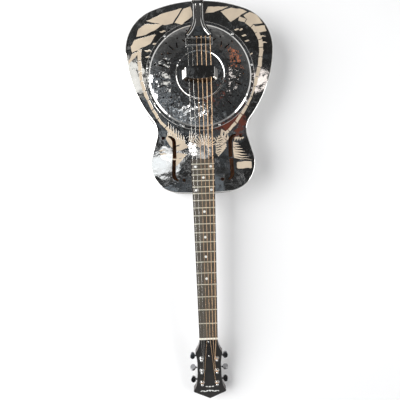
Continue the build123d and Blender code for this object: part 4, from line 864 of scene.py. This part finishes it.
def wind_posts(plain, wound):
    """String turns round the waist of each tuner post, with the cut end standing out."""
    upright = Vector((0, 0, 1)).rotation_difference(HEAD_UP).to_matrix().to_4x4()
    for number, radius in enumerate(STRING_RADII, start=1):
        pitch = 2 * radius * 1.06
        turns = (POST_WAIST[1] - POST_WAIST[0] - 2 * radius) / pitch + 0.5
        steps = round(turns * COIL_STEPS)
        out = (COIL_OUTER - radius) * MM
        bpy.ops.mesh.primitive_circle_add(
            vertices=8, radius=radius * MM, location=(out, 0, 0), rotation=(math.pi / 2, 0, 0)
        )
        piece = bpy.context.object
        bpy.ops.object.transform_apply(location=True, rotation=True, scale=True)
        bpy.ops.object.modifier_add(type="SCREW")
        coil = piece.modifiers[-1]
        coil.steps = coil.render_steps = steps
        coil.angle = 2 * math.pi * steps / COIL_STEPS
        coil.screw_offset = pitch * MM * steps / COIL_STEPS
        bpy.ops.object.modifier_apply(modifier=coil.name)
        bpy.ops.object.mode_set(mode="EDIT")
        bpy.ops.mesh.select_mode(type="VERT")
        bpy.ops.mesh.select_all(action="DESELECT")
        bpy.ops.object.mode_set(mode="OBJECT")
        for vertex in piece.data.vertices:
            vertex.select = vertex.co.x > 0 and abs(vertex.co.y) < 1e-6 and vertex.co.z < (radius + 0.001) * MM
        bpy.ops.object.mode_set(mode="EDIT")
        bpy.ops.mesh.extrude_region_move(TRANSFORM_OT_translate={"value": (0, -CUT_END * MM, 0)})
        bpy.ops.mesh.select_all(action="SELECT")
        bpy.ops.mesh.fill_holes(sides=8)
        bpy.ops.mesh.faces_shade_smooth()
        bpy.ops.object.mode_set(mode="OBJECT")
        foot = Vector(JOINTS[f"post_{number}_turn"]["pos_m"])
        foot = foot + HEAD_UP * (POST_WAIST[0] + radius - pitch / 4) * MM
        start = Matrix.Rotation(number * 0.7, 4, "Z")
        piece.matrix_world = Matrix.Translation(foot) @ upright @ start
        slot, material = ("plain_string", plain) if number <= 2 else ("wound_string", wound)
        settle(piece, f"post_winding_{number}", material, f"post_{number}")


def add_leaf(middle, length, width, heading, thick):
    """Pointed leaf of pearl lying on the headstock, with a softened upper edge."""
    bpy.ops.mesh.primitive_circle_add(vertices=4, radius=0.5, fill_type="NGON")
    leaf = bpy.context.object
    leaf.scale = (length * MM, width * 1.25 * MM, 1)
    bpy.ops.object.transform_apply(location=True, rotation=True, scale=True)
    # The two side corners are rounded off, and the two tips stay sharp.
    bpy.ops.object.mode_set(mode="EDIT")
    bpy.ops.mesh.select_mode(type="VERT")
    bpy.ops.mesh.select_all(action="DESELECT")
    bpy.ops.object.mode_set(mode="OBJECT")
    for vertex in leaf.data.vertices:
        vertex.select = abs(vertex.co.y) > abs(vertex.co.x)
    if sum(vertex.select for vertex in leaf.data.vertices) != 2:
        for vertex in leaf.data.vertices:
            vertex.select = abs(vertex.co.y) > 1e-6
    bpy.ops.object.mode_set(mode="EDIT")
    bpy.ops.mesh.bevel(offset=length * 0.4 * MM, segments=8, affect="VERTICES", clamp_overlap=True)
    bpy.ops.mesh.select_all(action="SELECT")
    bpy.ops.mesh.extrude_region_move(TRANSFORM_OT_translate={"value": (0, 0, thick * 0.6 * MM)})
    bpy.ops.mesh.extrude_region_move(TRANSFORM_OT_translate={"value": (0, 0, thick * 0.4 * MM)})
    bpy.ops.transform.resize(value=(0.9, 0.9, 1))
    bpy.ops.object.mode_set(mode="OBJECT")
    turn = math.radians(heading)
    along = ACROSS * math.cos(turn) + HEAD_RUN * math.sin(turn)
    frame_of_leaf = Matrix((along, HEAD_UP.cross(along), HEAD_UP)).transposed().to_4x4()
    leaf.matrix_world = Matrix.Translation(middle) @ frame_of_leaf
    leaf.select_set(False)
    return leaf


# Leaves of the headstock ornament: across, along, length, width and heading.
ORNAMENT = (
    (0, 141.5, 7.5, 4.6, 0), (-7.8, 141.0, 7.0, 3.6, 12), (7.8, 141.0, 7.0, 3.6, -12),
    (0, 154.0, 6.0, 6.0, 90), (-7.0, 154.5, 9.0, 4.4, 158), (7.0, 154.5, 9.0, 4.4, 22),
    (-14.6, 155.5, 9.0, 4.2, 18), (14.6, 155.5, 9.0, 4.2, -18),
    (-21.2, 155.0, 7.0, 3.2, 160), (21.2, 155.0, 7.0, 3.2, 20),
)
VENEER_TOP = 1.55


def add_ornament(material):
    """Plain leaf ornament of pearl on the face of the headstock."""
    leaves = []
    for across, along, length, width, heading in ORNAMENT:
        leaves.append(add_leaf(head_place(across, along, VENEER_TOP), length, width, heading, 0.3))
    for leaf in leaves:
        leaf.select_set(True)
    bpy.context.view_layer.objects.active = leaves[0]
    bpy.ops.object.join()
    settle(leaves[0], "headstock_ornament", material, "guitar")


def add_floor():
    """Plain pale floor under the back."""
    bpy.ops.mesh.primitive_plane_add(size=30, location=(0, 0, BACK_Z - 0.0005))
    floor = bpy.context.object
    floor.name = "floor"
    floor.data.materials.append(floor_paint())


bpy.ops.object.select_all(action="DESELECT")
bpy.context.scene.view_settings.view_transform = "Standard"
add_camera()
add_world()
add_lights()
add_floor()
dress_nodes()
wind_posts(FINISHES["plain_string"][0], FINISHES["wound_string"][0])
add_ornament(FINISHES["pearl"][0])
